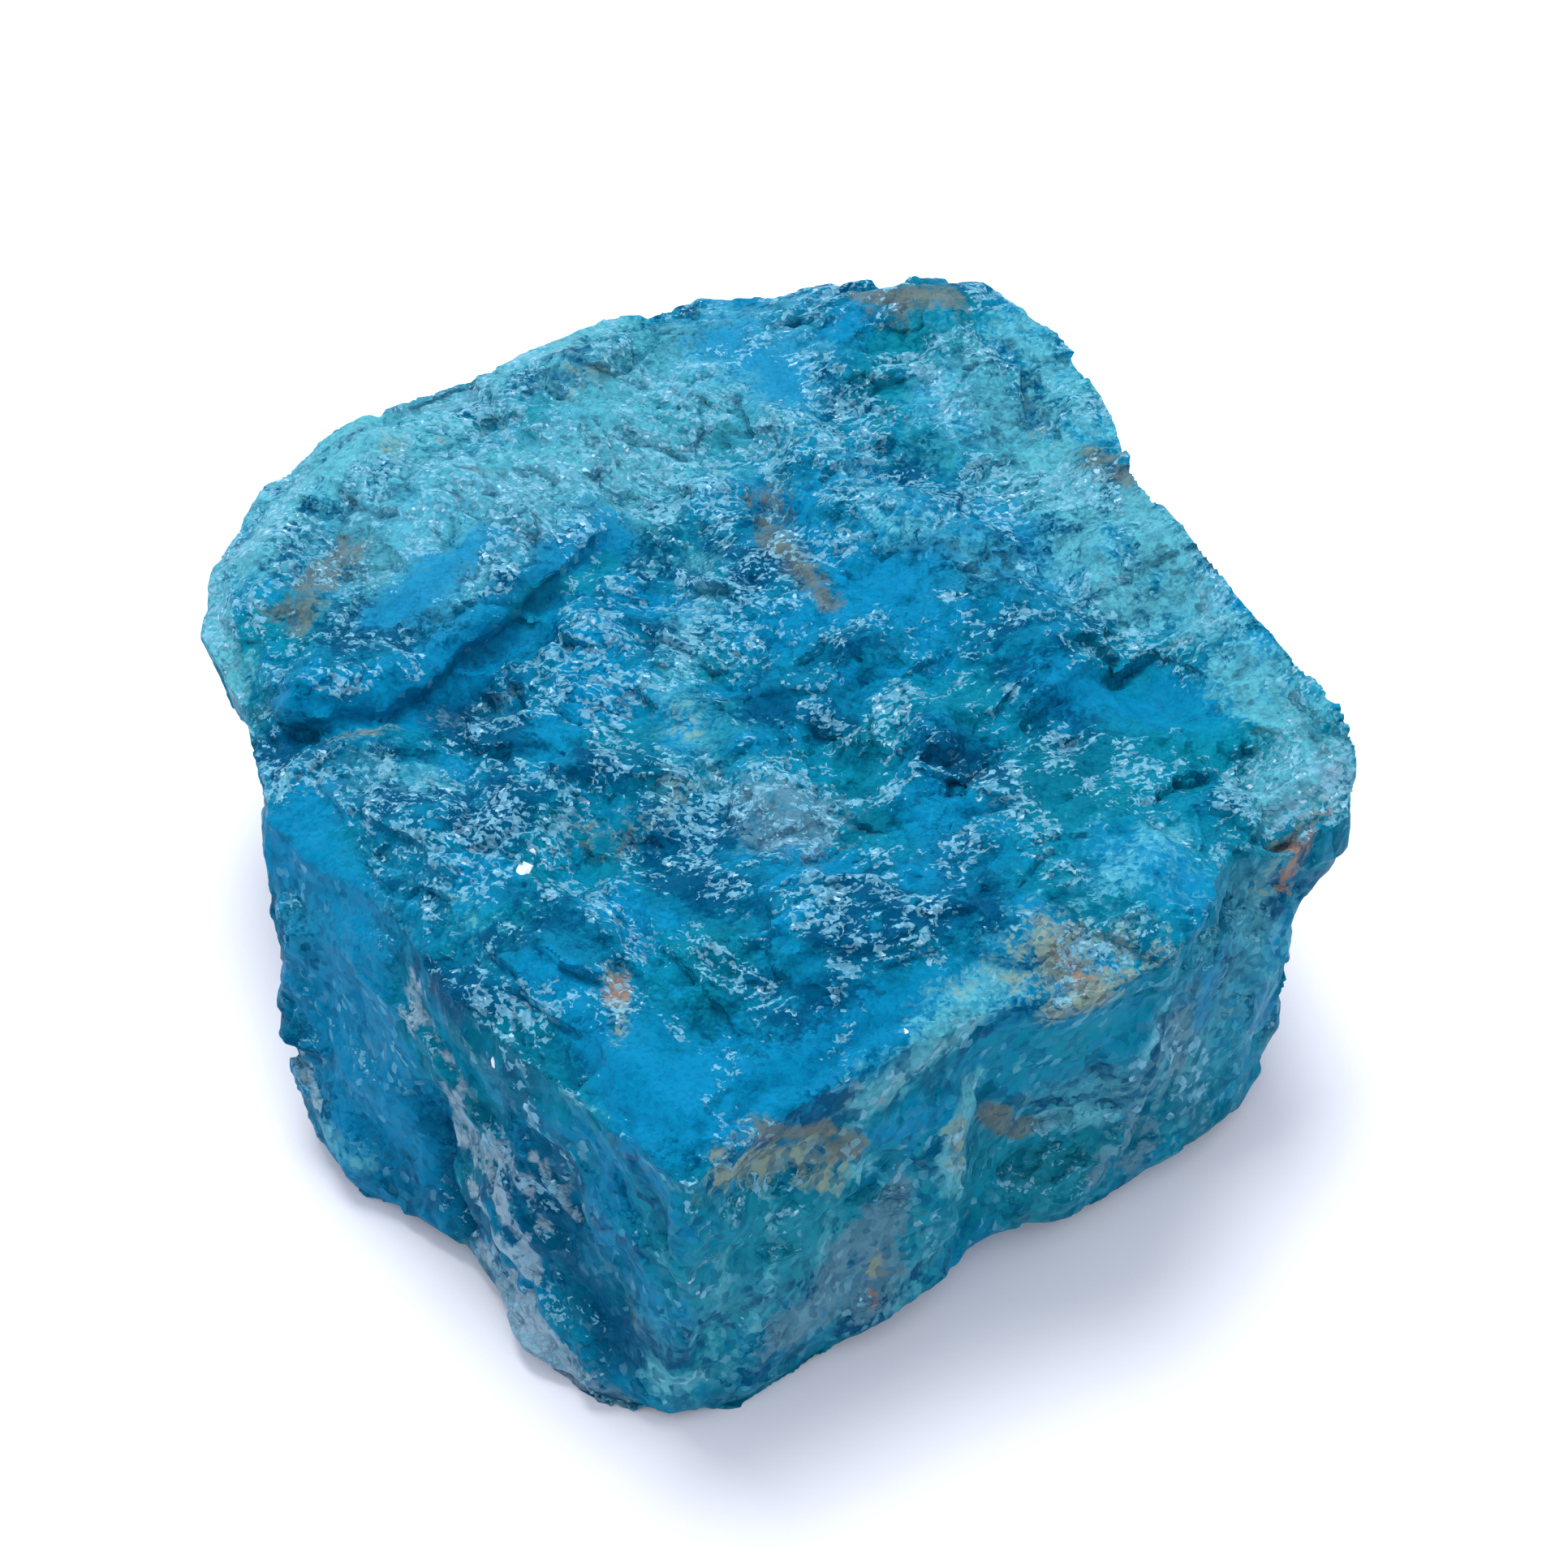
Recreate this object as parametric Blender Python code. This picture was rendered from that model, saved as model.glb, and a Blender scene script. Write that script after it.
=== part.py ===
"""Raw apatite: one rough, unpolished piece of blue apatite, about 40 mm across and 15 mm high.

The stone is a low block with four plan corners: the left tip, the front edge, the right corner and
the back corner. Upright profiles round its flank give the outline at the rim, at the belt and at the
foot. The top is spanned between the four rims and then carries ledges, hollows and lumps. Broken
facets cover everything but the flat underside, which the stone rests on.

Lengths in the tables are millimetres, written to the stone's own axes: +X right, +Y back, +Z up.
"""

import math

import bmesh
import bpy
from mathutils import Matrix, Vector, geometry, noise

MM = 0.001
TINY = 1e-4
NODE_NAME = "stone"

# The grid of the block: cells along the left-front and right-back flanks, cells along the other two,
# and rows up the flank.
CELLS_U = 40
CELLS_V = 40
ROWS = 15
BELT_ROW = 7

# Each corner starts the run of profiles that goes from it to the next corner, counter-clockwise.
# A profile is its name, then the points (x, y, z) at the rim, the belt and the foot.
FROM_LEFT_TIP = (
    ("left tip", (-19.7, 4.6, 11.2), (-17.6, 4.2, 6.8), (-15.6, 4.0, 0.0)),
    ("tip notch", (-17.8, 1.6, 11.2), (-16.6, 1.0, 6.5), (-15.6, 0.4, 0.0)),
    ("left lip", (-17.2, -1.0, 11.4), (-16.2, -2.0, 6.5), (-15.4, -3.2, 0.0)),
    ("lobe side", (-16.3, -4.3, 11.8), (-16.3, -6.2, 6.5), (-15.7, -9.0, 0.5)),
    ("lobe front", (-13.7, -6.5, 12.0), (-13.9, -9.5, 6.0), (-13.9, -11.6, 0.0)),
    ("lobe shoulder", (-11.4, -9.0, 12.3), (-11.6, -11.2, 5.5), (-11.6, -12.7, 0.0)),
    ("crevice", (-9.6, -12.1, 12.5), (-9.3, -12.8, 6.0), (-9.8, -13.9, 0.0)),
    ("cheek", (-7.4, -14.2, 12.8), (-7.8, -15.4, 6.0), (-7.9, -17.6, 0.0)),
    ("front cheek", (-4.4, -17.7, 13.1), (-5.0, -18.2, 6.0), (-5.5, -19.6, 0.0)),
)
FROM_FRONT_EDGE = (
    ("front edge", (-2.0, -19.9, 13.4), (-2.4, -19.7, 6.5), (-2.8, -20.5, 0.0)),
    ("nose", (1.2, -17.3, 13.7), (0.2, -18.0, 6.5), (-0.4, -19.9, 0.0)),
    ("slab", (4.0, -15.5, 13.9), (3.6, -16.5, 6.5), (3.3, -17.3, 0.2)),
    ("slab end", (6.4, -14.1, 13.9), (6.3, -15.1, 6.8), (6.0, -15.4, 0.6)),
    ("slab step", (7.3, -13.5, 13.9), (7.0, -13.4, 6.8), (6.8, -14.1, 0.5)),
    ("tan patch", (10.1, -13.2, 13.4), (9.9, -12.0, 7.0), (10.1, -12.9, 0.4)),
    ("knee", (13.2, -11.8, 14.4), (12.4, -11.7, 8.0), (11.8, -12.1, 0.4)),
    ("knee side", (14.4, -9.3, 14.3), (14.5, -9.5, 7.5), (14.6, -9.9, 0.5)),
    ("bay", (15.3, -6.9, 13.6), (16.9, -7.3, 7.5), (17.0, -8.2, 0.6)),
    ("corner cheek", (17.5, -6.0, 12.2), (18.2, -5.8, 7.5), (18.0, -6.4, 2.4)),
    ("corner chin", (19.6, -4.6, 12.9), (18.5, -4.9, 8.0), (18.0, -5.2, 2.2)),
)
FROM_RIGHT_CORNER = (
    ("right corner", (19.7, -3.1, 14.9), (18.6, -3.8, 8.0), (17.6, -3.8, 1.4)),
    ("right flank a", (18.0, 0.0, 14.9), (17.8, 0.2, 7.5), (16.4, 0.0, 0.4)),
    ("right flank b", (15.7, 4.5, 14.6), (16.0, 5.0, 7.2), (14.5, 4.6, 0.0)),
    ("right flank c", (13.1, 9.5, 14.3), (13.8, 10.2, 7.0), (12.3, 9.8, 0.0)),
    ("right flank d", (12.5, 13.1, 14.1), (12.6, 13.0, 7.0), (11.0, 12.4, 0.0)),
    ("right flank e", (11.0, 17.0, 13.9), (11.2, 17.0, 7.0), (9.6, 16.0, 0.0)),
)
FROM_BACK_CORNER = (
    ("back corner", (9.4, 19.0, 13.7), (9.5, 18.9, 7.0), (8.0, 17.5, 0.0)),
    ("back flank a", (7.6, 20.2, 13.5), (7.4, 20.0, 7.0), (6.2, 18.4, 0.0)),
    ("back flank b", (1.9, 20.3, 13.0), (1.8, 19.8, 7.0), (1.5, 18.0, 0.0)),
    ("back flank c", (-2.4, 20.3, 12.6), (-2.4, 19.6, 7.0), (-2.2, 17.8, 0.0)),
    ("back flank d", (-6.0, 19.2, 12.2), (-5.8, 18.6, 6.8), (-5.2, 16.9, 0.0)),
    ("back flank e", (-9.0, 17.6, 12.1), (-8.6, 16.6, 6.6), (-7.9, 15.2, 0.0)),
    ("back flank f", (-11.5, 16.0, 12.0), (-11.1, 14.9, 6.5), (-10.0, 13.5, 0.0)),
    ("back flank g", (-15.4, 13.9, 11.8), (-14.5, 12.6, 6.5), (-13.0, 11.4, 0.0)),
    ("back flank h", (-17.9, 11.4, 11.6), (-16.5, 10.2, 6.5), (-14.7, 9.4, 0.0)),
    ("back flank i", (-19.1, 7.6, 11.4), (-17.5, 7.0, 6.5), (-15.5, 6.5, 0.0)),
)

# How far the top stands above the line between opposite rims, and the width of the worn bevel that
# brings it down to each rim.
BACK_BEVEL_RISE = 1.0
FRONT_BEVEL_RISE = 0.2
BEVEL_WIDTH = 2.2
TOP_ACROSS = 30.0
DISH_DEPTH = 0.8

# Ledges on the top: name, points (x, y) along the break, drop at the break, and how far the raised
# side and the dropped side reach. The raised side is on the right of the way the points run.
LEDGES = (
    ("left shelf", ((-4.4, 9.0), (-7.2, 5.7), (-9.6, 3.4), (-11.6, 1.2), (-13.2, 0.3), (-21.0, -1.2)),
     1.7, 5.0, 3.0),
    ("right shelf", ((12.4, 3.0), (9.8, -0.6), (7.1, -2.2), (5.8, -4.2), (5.9, -6.0)), 1.5, 4.0, 4.0),
    ("front flake", ((8.4, -10.4), (5.0, -11.8), (3.7, -12.6), (1.4, -13.3), (0.4, -11.8), (0.1, -9.2)),
     0.9, 2.5, 3.0),
)
LEDGE_WIDTH = 0.9
LEDGE_END_SHARE = 0.08
LEDGE_RAISED_SHARE = 0.4

# Lumps (raised) and hollows (negative rise): name, centre (x, y, z), half-sizes (x, y, z), turn about
# Z in degrees, rise.
LUMPS = (
    ("left hollow", (-9.2, 0.4, 12.0), (2.9, 2.2, 6.0), -20.0, -1.1),
    ("left hollow tail", (-5.6, -0.6, 12.5), (3.0, 1.6, 6.0), 10.0, -0.5),
    ("shelf knob", (-5.9, 2.9, 12.5), (1.9, 1.5, 6.0), 0.0, 0.8),
    ("right pit", (6.9, -4.8, 13.5), (1.6, 2.8, 6.0), -12.0, -0.7),
    ("grey knob", (0.9, -4.7, 13.5), (3.0, 2.6, 6.0), 0.0, 0.9),
    ("green ridge", (-3.6, -3.4, 13.0), (3.6, 1.1, 6.0), 14.0, 0.6),
    ("back mound", (5.6, 7.2, 13.5), (4.0, 3.2, 6.0), -25.0, 0.8),
    ("back window", (5.4, 16.6, 13.5), (1.8, 1.7, 6.0), 0.0, -0.7),
    ("right saddle", (9.4, 10.6, 14.0), (2.6, 2.0, 6.0), -50.0, -0.6),
    ("brown groove", (0.4, 8.4, 13.0), (0.9, 3.0, 6.0), 25.0, -0.5),
    ("left brow", (-12.5, 8.6, 12.0), (4.0, 2.0, 6.0), 30.0, 0.5),
    ("front dish", (-2.2, -15.6, 13.3), (2.2, 3.0, 6.0), 0.0, -0.6),
    ("lobe dish", (-12.0, -7.0, 12.0), (3.2, 1.8, 6.0), -40.0, -0.5),
    ("near ridge", (-6.6, -9.4, 12.6), (3.0, 1.0, 6.0), -35.0, 0.5),
    ("skirt", (-7.4, -17.4, 0.3), (2.6, 3.0, 1.7), -50.0, 0.9),
    ("crust", (9.8, -12.8, 2.6), (2.6, 2.4, 1.8), 15.0, 0.9),
    ("flank hollow", (9.6, -12.4, 7.5), (2.6, 2.4, 3.0), 0.0, -0.5),
    ("cheek hollow", (-6.6, -16.4, 7.0), (2.0, 2.0, 3.0), -45.0, -0.7),
    ("lobe belly", (-13.4, -10.4, 4.5), (3.0, 2.4, 3.0), 0.0, 0.5),
    ("nose chip", (0.6, -18.4, 11.0), (1.6, 2.0, 1.6), 30.0, -0.5),
    ("corner undercut", (18.4, -4.6, 6.0), (1.6, 2.0, 3.0), 0.0, -0.5),
    ("back chip", (-3.5, 19.6, 9.0), (3.2, 2.5, 3.2), 0.0, -0.9),
    ("side chip", (15.4, 6.0, 6.0), (2.5, 3.4, 3.0), 25.0, -0.8),
    ("back foot chip", (-12.6, 12.6, 2.5), (3.0, 2.6, 2.8), 30.0, -0.7),
)

# Broken facets: the size of the cells, how steeply their faces tilt, how far they step, and a seed.
# A high blend keeps the creases between cells crisp.
FACETS = (
    (6.5, 0.40, 0.40, Vector((31.0, 52.7, 71.3))),
    (3.2, 0.60, 0.32, Vector((47.0, 79.9, 108.1))),
)
FACET_BLEND = 9.0
TILT_SEED_SCALE = 5.3
STEP_SEED_SCALE = 3.7

# Fine roughness over the facets.
ROUGH_SIZE = 2.2
ROUGH_RISE = 0.16
ROUGH_SEED = Vector((5.0, 5.0, 5.0))
ROUGH_OCTAVES = 2
ROUGH_LACUNARITY = 2.1

# Chips along the foot, and the height over which the facets come in above it.
FOOT_CHIP_SIZE = 3.5
FOOT_CHIP_RISE = 1.4
FOOT_FADE = 1.6
FLANK_SHARE = 0.75

# The rim keeps to its profiles: facets fade to this share over this many cells on either side of it.
RIM_SHARE = 0.25
RIM_FADE_CELLS = 3.0

MATERIAL_COLOUR = (0.012, 0.19, 0.42, 1.0)
MATERIAL_ROUGHNESS = 0.38
MATERIAL_METALLIC = 0.0


def clear_scene():
    for old in list(bpy.data.objects):
        bpy.data.objects.remove(old, do_unlink=True)


def smooth(value):
    """0 below 0, 1 above 1, and an S-curve between."""
    value = min(max(value, 0.0), 1.0)
    return value * value * (3.0 - 2.0 * value)


def columns_of(profiles, cells):
    """The column of each profile along its flank, in proportion to the rim's length."""
    rims = [Vector(rim) for _, rim, _, _ in profiles]
    lengths = [0.0]
    for start, end in zip(rims, rims[1:]):
        lengths.append(lengths[-1] + (end - start).length)
    columns = [round(cells * length / lengths[-1]) for length in lengths]
    for index in range(1, len(columns)):
        columns[index] = max(columns[index], columns[index - 1] + 1)
    columns[-1] = cells
    return columns


def profile_point(profile, row):
    """The point of an upright profile at a row of the flank: foot, belt, then rim."""
    _, rim, belt, foot = profile
    if row <= BELT_ROW:
        return Vector(foot).lerp(Vector(belt), row / BELT_ROW)
    return Vector(belt).lerp(Vector(rim), (row - BELT_ROW) / (ROWS - BELT_ROW))


def flank_curves(profiles, cells):
    """For each row, the flank's points at every column."""
    columns = columns_of(profiles, cells)
    curves = []
    for row in range(ROWS + 1):
        points = []
        for first, last, start, end in zip(columns, columns[1:], profiles, profiles[1:]):
            low, high = profile_point(start, row), profile_point(end, row)
            points += [low.lerp(high, step / (last - first)) for step in range(last - first)]
        points.append(profile_point(profiles[-1], row))
        curves.append(points)
    return curves


def all_flanks():
    """The four flanks as curves that run the way the block's own grid does."""
    left_front = flank_curves(FROM_LEFT_TIP + FROM_FRONT_EDGE[:1], CELLS_U)
    right_front = flank_curves(FROM_FRONT_EDGE + FROM_RIGHT_CORNER[:1], CELLS_V)
    right_back = flank_curves(FROM_RIGHT_CORNER + FROM_BACK_CORNER[:1], CELLS_U)
    left_back = flank_curves(FROM_BACK_CORNER + FROM_LEFT_TIP[:1], CELLS_V)
    return left_front, right_front, [row[::-1] for row in right_back], [row[::-1] for row in left_back]


def span_point(flanks, i, j, row):
    """The point spanned between the four flanks at column i, column j and a row."""
    low_v, high_u, high_v, low_u = (flank[row] for flank in flanks)
    u, v = i / CELLS_U, j / CELLS_V
    across = low_v[i].lerp(high_v[i], v) + low_u[j].lerp(high_u[j], u)
    corners = low_v[0].lerp(low_v[-1], u).lerp(high_v[0].lerp(high_v[-1], u), v)
    return across - corners


def gridded_block():
    """A unit block cut into the grid: each axis's edges are cut in turn."""
    bm = bmesh.new()
    bmesh.ops.create_cube(bm, size=1.0, matrix=Matrix.Translation((0.5, 0.5, 0.5)))
    for axis, cells in enumerate((CELLS_U, CELLS_V, ROWS)):
        along = [e for e in bm.edges if abs(e.verts[0].co[axis] - e.verts[1].co[axis]) > 0.5]
        bmesh.ops.subdivide_edges(bm, edges=along, cuts=cells - 1, use_grid_fill=True)
    return bm


def top_swell(i, j):
    """The top's rise over the span: a worn bevel in from each rim, then a shallow dish."""
    u, v = i / CELLS_U, j / CELLS_V
    bevel = BEVEL_WIDTH / TOP_ACROSS
    back = smooth(min(u, 1.0 - v) / bevel) * BACK_BEVEL_RISE
    front = smooth(min(v, 1.0 - u) / bevel)
    dish = math.sin(math.pi * u) * math.sin(math.pi * v) * DISH_DEPTH
    return back * front + front * FRONT_BEVEL_RISE - dish


def ledge_rise(x, y):
    """The sum of the ledges at a point of the top."""
    total = 0.0
    place = Vector((x, y))
    for _, points, drop, raised_reach, dropped_reach in LEDGES:
        nearest, side, along = None, 1.0, 0.0
        count = len(points) - 1
        for index, (start, end) in enumerate(zip(points, points[1:])):
            start, end = Vector(start), Vector(end)
            foot, share = geometry.intersect_point_line(place, start, end)
            share = min(max(share, 0.0), 1.0)
            foot = start.lerp(end, share)
            if nearest is None or (place - foot).length < nearest:
                nearest = (place - foot).length
                run = end - start
                away = place - start
                side = 1.0 if run.x * away.y - run.y * away.x < 0.0 else -1.0
                along = (index + share) / count
        raised = LEDGE_RAISED_SHARE * drop * math.exp(-nearest / raised_reach)
        dropped = (LEDGE_RAISED_SHARE - 1.0) * drop * math.exp(-nearest / dropped_reach)
        share = smooth(0.5 + side * nearest / LEDGE_WIDTH)
        fade = smooth(min(along, 1.0 - along) / LEDGE_END_SHARE)
        total += (dropped + (raised - dropped) * share) * fade
    return total


def lump_rise(place):
    total = 0.0
    for _, centre, half_sizes, turn, rise in LUMPS:
        away = Matrix.Rotation(-math.radians(turn), 3, "Z") @ (place - Vector(centre))
        share = sum((part / half) ** 2 for part, half in zip(away, half_sizes))
        if share < 1.0:
            total += rise * (1.0 - share) ** 2
    return total


def facet_rise(place):
    """Flat broken faces: near each cell's centre the surface follows that cell's own tilt."""
    total = 0.0
    for size, tilt, step, seed in FACETS:
        distances, centres = noise.voronoi(place / size + seed)
        nearest = max(distances[0], TINY)
        weights = [(nearest / max(distance, TINY)) ** FACET_BLEND for distance in distances]
        rise = 0.0
        for centre, weight in zip(centres, weights):
            lean = noise.noise_vector(centre * TILT_SEED_SCALE + seed) * tilt
            lift = noise.noise(centre * STEP_SEED_SCALE - seed) * step
            rise += weight * ((place - (centre - seed) * size).dot(lean) + lift)
        total += rise / sum(weights)
    return total


def rough_rise(place):
    return noise.fractal(place / ROUGH_SIZE + ROUGH_SEED, 1.0, ROUGH_LACUNARITY, ROUGH_OCTAVES) * ROUGH_RISE


def inside(i, j):
    return 0 < i < CELLS_U and 0 < j < CELLS_V


def rim_share(i, j, row):
    """How much of the facets a place keeps, which is least at the rim."""
    if row == ROWS:
        away = min(i, CELLS_U - i, j, CELLS_V - j)
    else:
        away = ROWS - row
    highest = 1.0 if row == ROWS else FLANK_SHARE
    return RIM_SHARE + (highest - RIM_SHARE) * smooth(away / RIM_FADE_CELLS)


def shape_stone(bm):
    """Bends the block to the flanks and the top, then breaks its surface."""
    flanks = all_flanks()
    cells = {}
    for vert in bm.verts:
        i, j = round(vert.co.x * CELLS_U), round(vert.co.y * CELLS_V)
        cells[vert] = (i, j, round(vert.co.z * ROWS))
    for vert, (i, j, row) in cells.items():
        place = span_point(flanks, i, j, row)
        if row == ROWS:
            from_rim = smooth(min(i, CELLS_U - i, j, CELLS_V - j) / RIM_FADE_CELLS)
            place.z += top_swell(i, j) + ledge_rise(place.x, place.y) * from_rim
        elif row == 0 and inside(i, j):
            place.z = 0.0
        elif row == 0:
            place.z += max(noise.noise(place / FOOT_CHIP_SIZE), 0.0) * FOOT_CHIP_RISE
        vert.co = place
    bm.normal_update()
    moves = {}
    for vert, (i, j, row) in cells.items():
        if row == 0:
            continue
        broken = facet_rise(vert.co) + rough_rise(vert.co)
        rise = lump_rise(vert.co) + broken * rim_share(i, j, row)
        way = Vector((0.0, 0.0, 1.0)) if row == ROWS and inside(i, j) else vert.normal
        moves[vert] = way * rise * smooth(vert.co.z / FOOT_FADE)
    for vert, move in moves.items():
        vert.co += move
        vert.co.z = max(vert.co.z, 0.0)


def settle(bm):
    """Puts the middle of the stone's underside at the origin."""
    lows = [min(v.co[axis] for v in bm.verts) for axis in range(3)]
    highs = [max(v.co[axis] for v in bm.verts) for axis in range(3)]
    middle = Vector(((lows[0] + highs[0]) / 2.0, (lows[1] + highs[1]) / 2.0, lows[2]))
    bmesh.ops.translate(bm, verts=bm.verts, vec=-middle)


def stone_material():
    material = bpy.data.materials.new("raw apatite")
    material.use_nodes = True
    shader = material.node_tree.nodes["Principled BSDF"]
    shader.inputs["Base Color"].default_value = MATERIAL_COLOUR
    shader.inputs["Roughness"].default_value = MATERIAL_ROUGHNESS
    shader.inputs["Metallic"].default_value = MATERIAL_METALLIC
    material.diffuse_color = MATERIAL_COLOUR
    return material


def make_stone():
    bm = gridded_block()
    shape_stone(bm)
    settle(bm)
    bmesh.ops.scale(bm, verts=bm.verts, vec=(MM, MM, MM))
    bmesh.ops.recalc_face_normals(bm, faces=bm.faces)
    mesh = bpy.data.meshes.new(NODE_NAME)
    bm.to_mesh(mesh)
    bm.free()
    mesh.materials.append(stone_material())
    stone = bpy.data.objects.new(NODE_NAME, mesh)
    bpy.context.scene.collection.objects.link(stone)
    return stone


clear_scene()
make_stone()
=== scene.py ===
"""Raw apatite: a rough, unpolished piece of blue apatite on a pale floor, in soft light.

The stone starts from the plain solid of the frame. Its skin is remeshed finely, broken into small
facets and ledges, and thinned where it is flat. Places on it that differ in tone, such as weathered
rims, clear panes and iron stains, are named in a table and laid on it as attributes of the mesh,
which the stone's own material reads. Some of these marks are painted light: shade in hollows,
cracks and crevices, and light, glints and reflections on other places.

Lengths are millimetres on the stone's axes: +X right, +Y back, +Z up. A point in the tables is one
of three things. Two numbers are a pixel of the front view, across and down from its top left
corner. In the tables of the far side they are a bearing in degrees, counter-clockwise from +X, and
a height. For both, a line of sight finds the place on the plain solid. Three numbers are the place
itself.
"""

import functools
import math

import bmesh
import bpy
import numpy as np
from mathutils import Matrix, Vector, noise
from mathutils.bvhtree import BVHTree


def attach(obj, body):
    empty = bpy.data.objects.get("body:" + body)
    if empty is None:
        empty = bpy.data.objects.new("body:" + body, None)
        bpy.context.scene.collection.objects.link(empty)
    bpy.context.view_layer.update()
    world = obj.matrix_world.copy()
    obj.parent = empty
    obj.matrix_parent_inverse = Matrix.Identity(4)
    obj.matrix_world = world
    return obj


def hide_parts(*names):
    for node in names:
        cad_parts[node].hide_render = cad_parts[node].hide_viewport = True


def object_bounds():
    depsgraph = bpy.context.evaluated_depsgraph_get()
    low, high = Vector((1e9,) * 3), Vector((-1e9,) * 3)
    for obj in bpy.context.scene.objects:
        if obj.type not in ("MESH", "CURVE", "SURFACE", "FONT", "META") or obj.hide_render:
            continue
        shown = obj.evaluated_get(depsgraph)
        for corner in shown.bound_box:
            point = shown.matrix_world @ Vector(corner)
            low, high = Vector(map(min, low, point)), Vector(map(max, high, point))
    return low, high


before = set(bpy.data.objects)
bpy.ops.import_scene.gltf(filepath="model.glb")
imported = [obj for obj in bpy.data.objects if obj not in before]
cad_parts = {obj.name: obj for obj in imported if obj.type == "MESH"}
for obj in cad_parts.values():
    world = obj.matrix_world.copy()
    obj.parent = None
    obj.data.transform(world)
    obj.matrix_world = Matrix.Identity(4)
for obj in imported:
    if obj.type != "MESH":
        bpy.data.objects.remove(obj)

bl_info = {
    "name": "Raw apatite",
    "version": (1, 0, 0),
    "blender": (4, 5, 0),
    "location": "View3D > Sidebar > Apatite",
    "description": "Builds a rough piece of blue apatite and the stage it lies on",
    "category": "Object",
}

CAD_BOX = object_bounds()
MM = 0.001
PER_MM = 1000.0
TINY = 1e-6

# The front view: its width in pixels, its angle, its height above the horizon, how far away it is
# taken, and the point in its middle.
VIEW_WIDTH = 1932
VIEW_ANGLE = math.radians(24.0)
VIEW_TILT = math.radians(50.0)
VIEW_DISTANCE = 126.24 * MM
LOOK_AT = Vector((0.846, -1.158, 10.0)) * MM

# How far out the lines of sight to the far side start, and the decimals of a place in millimetres.
AROUND_DISTANCE = 60.0 * MM
PLACE_DECIMALS = 1

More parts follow.
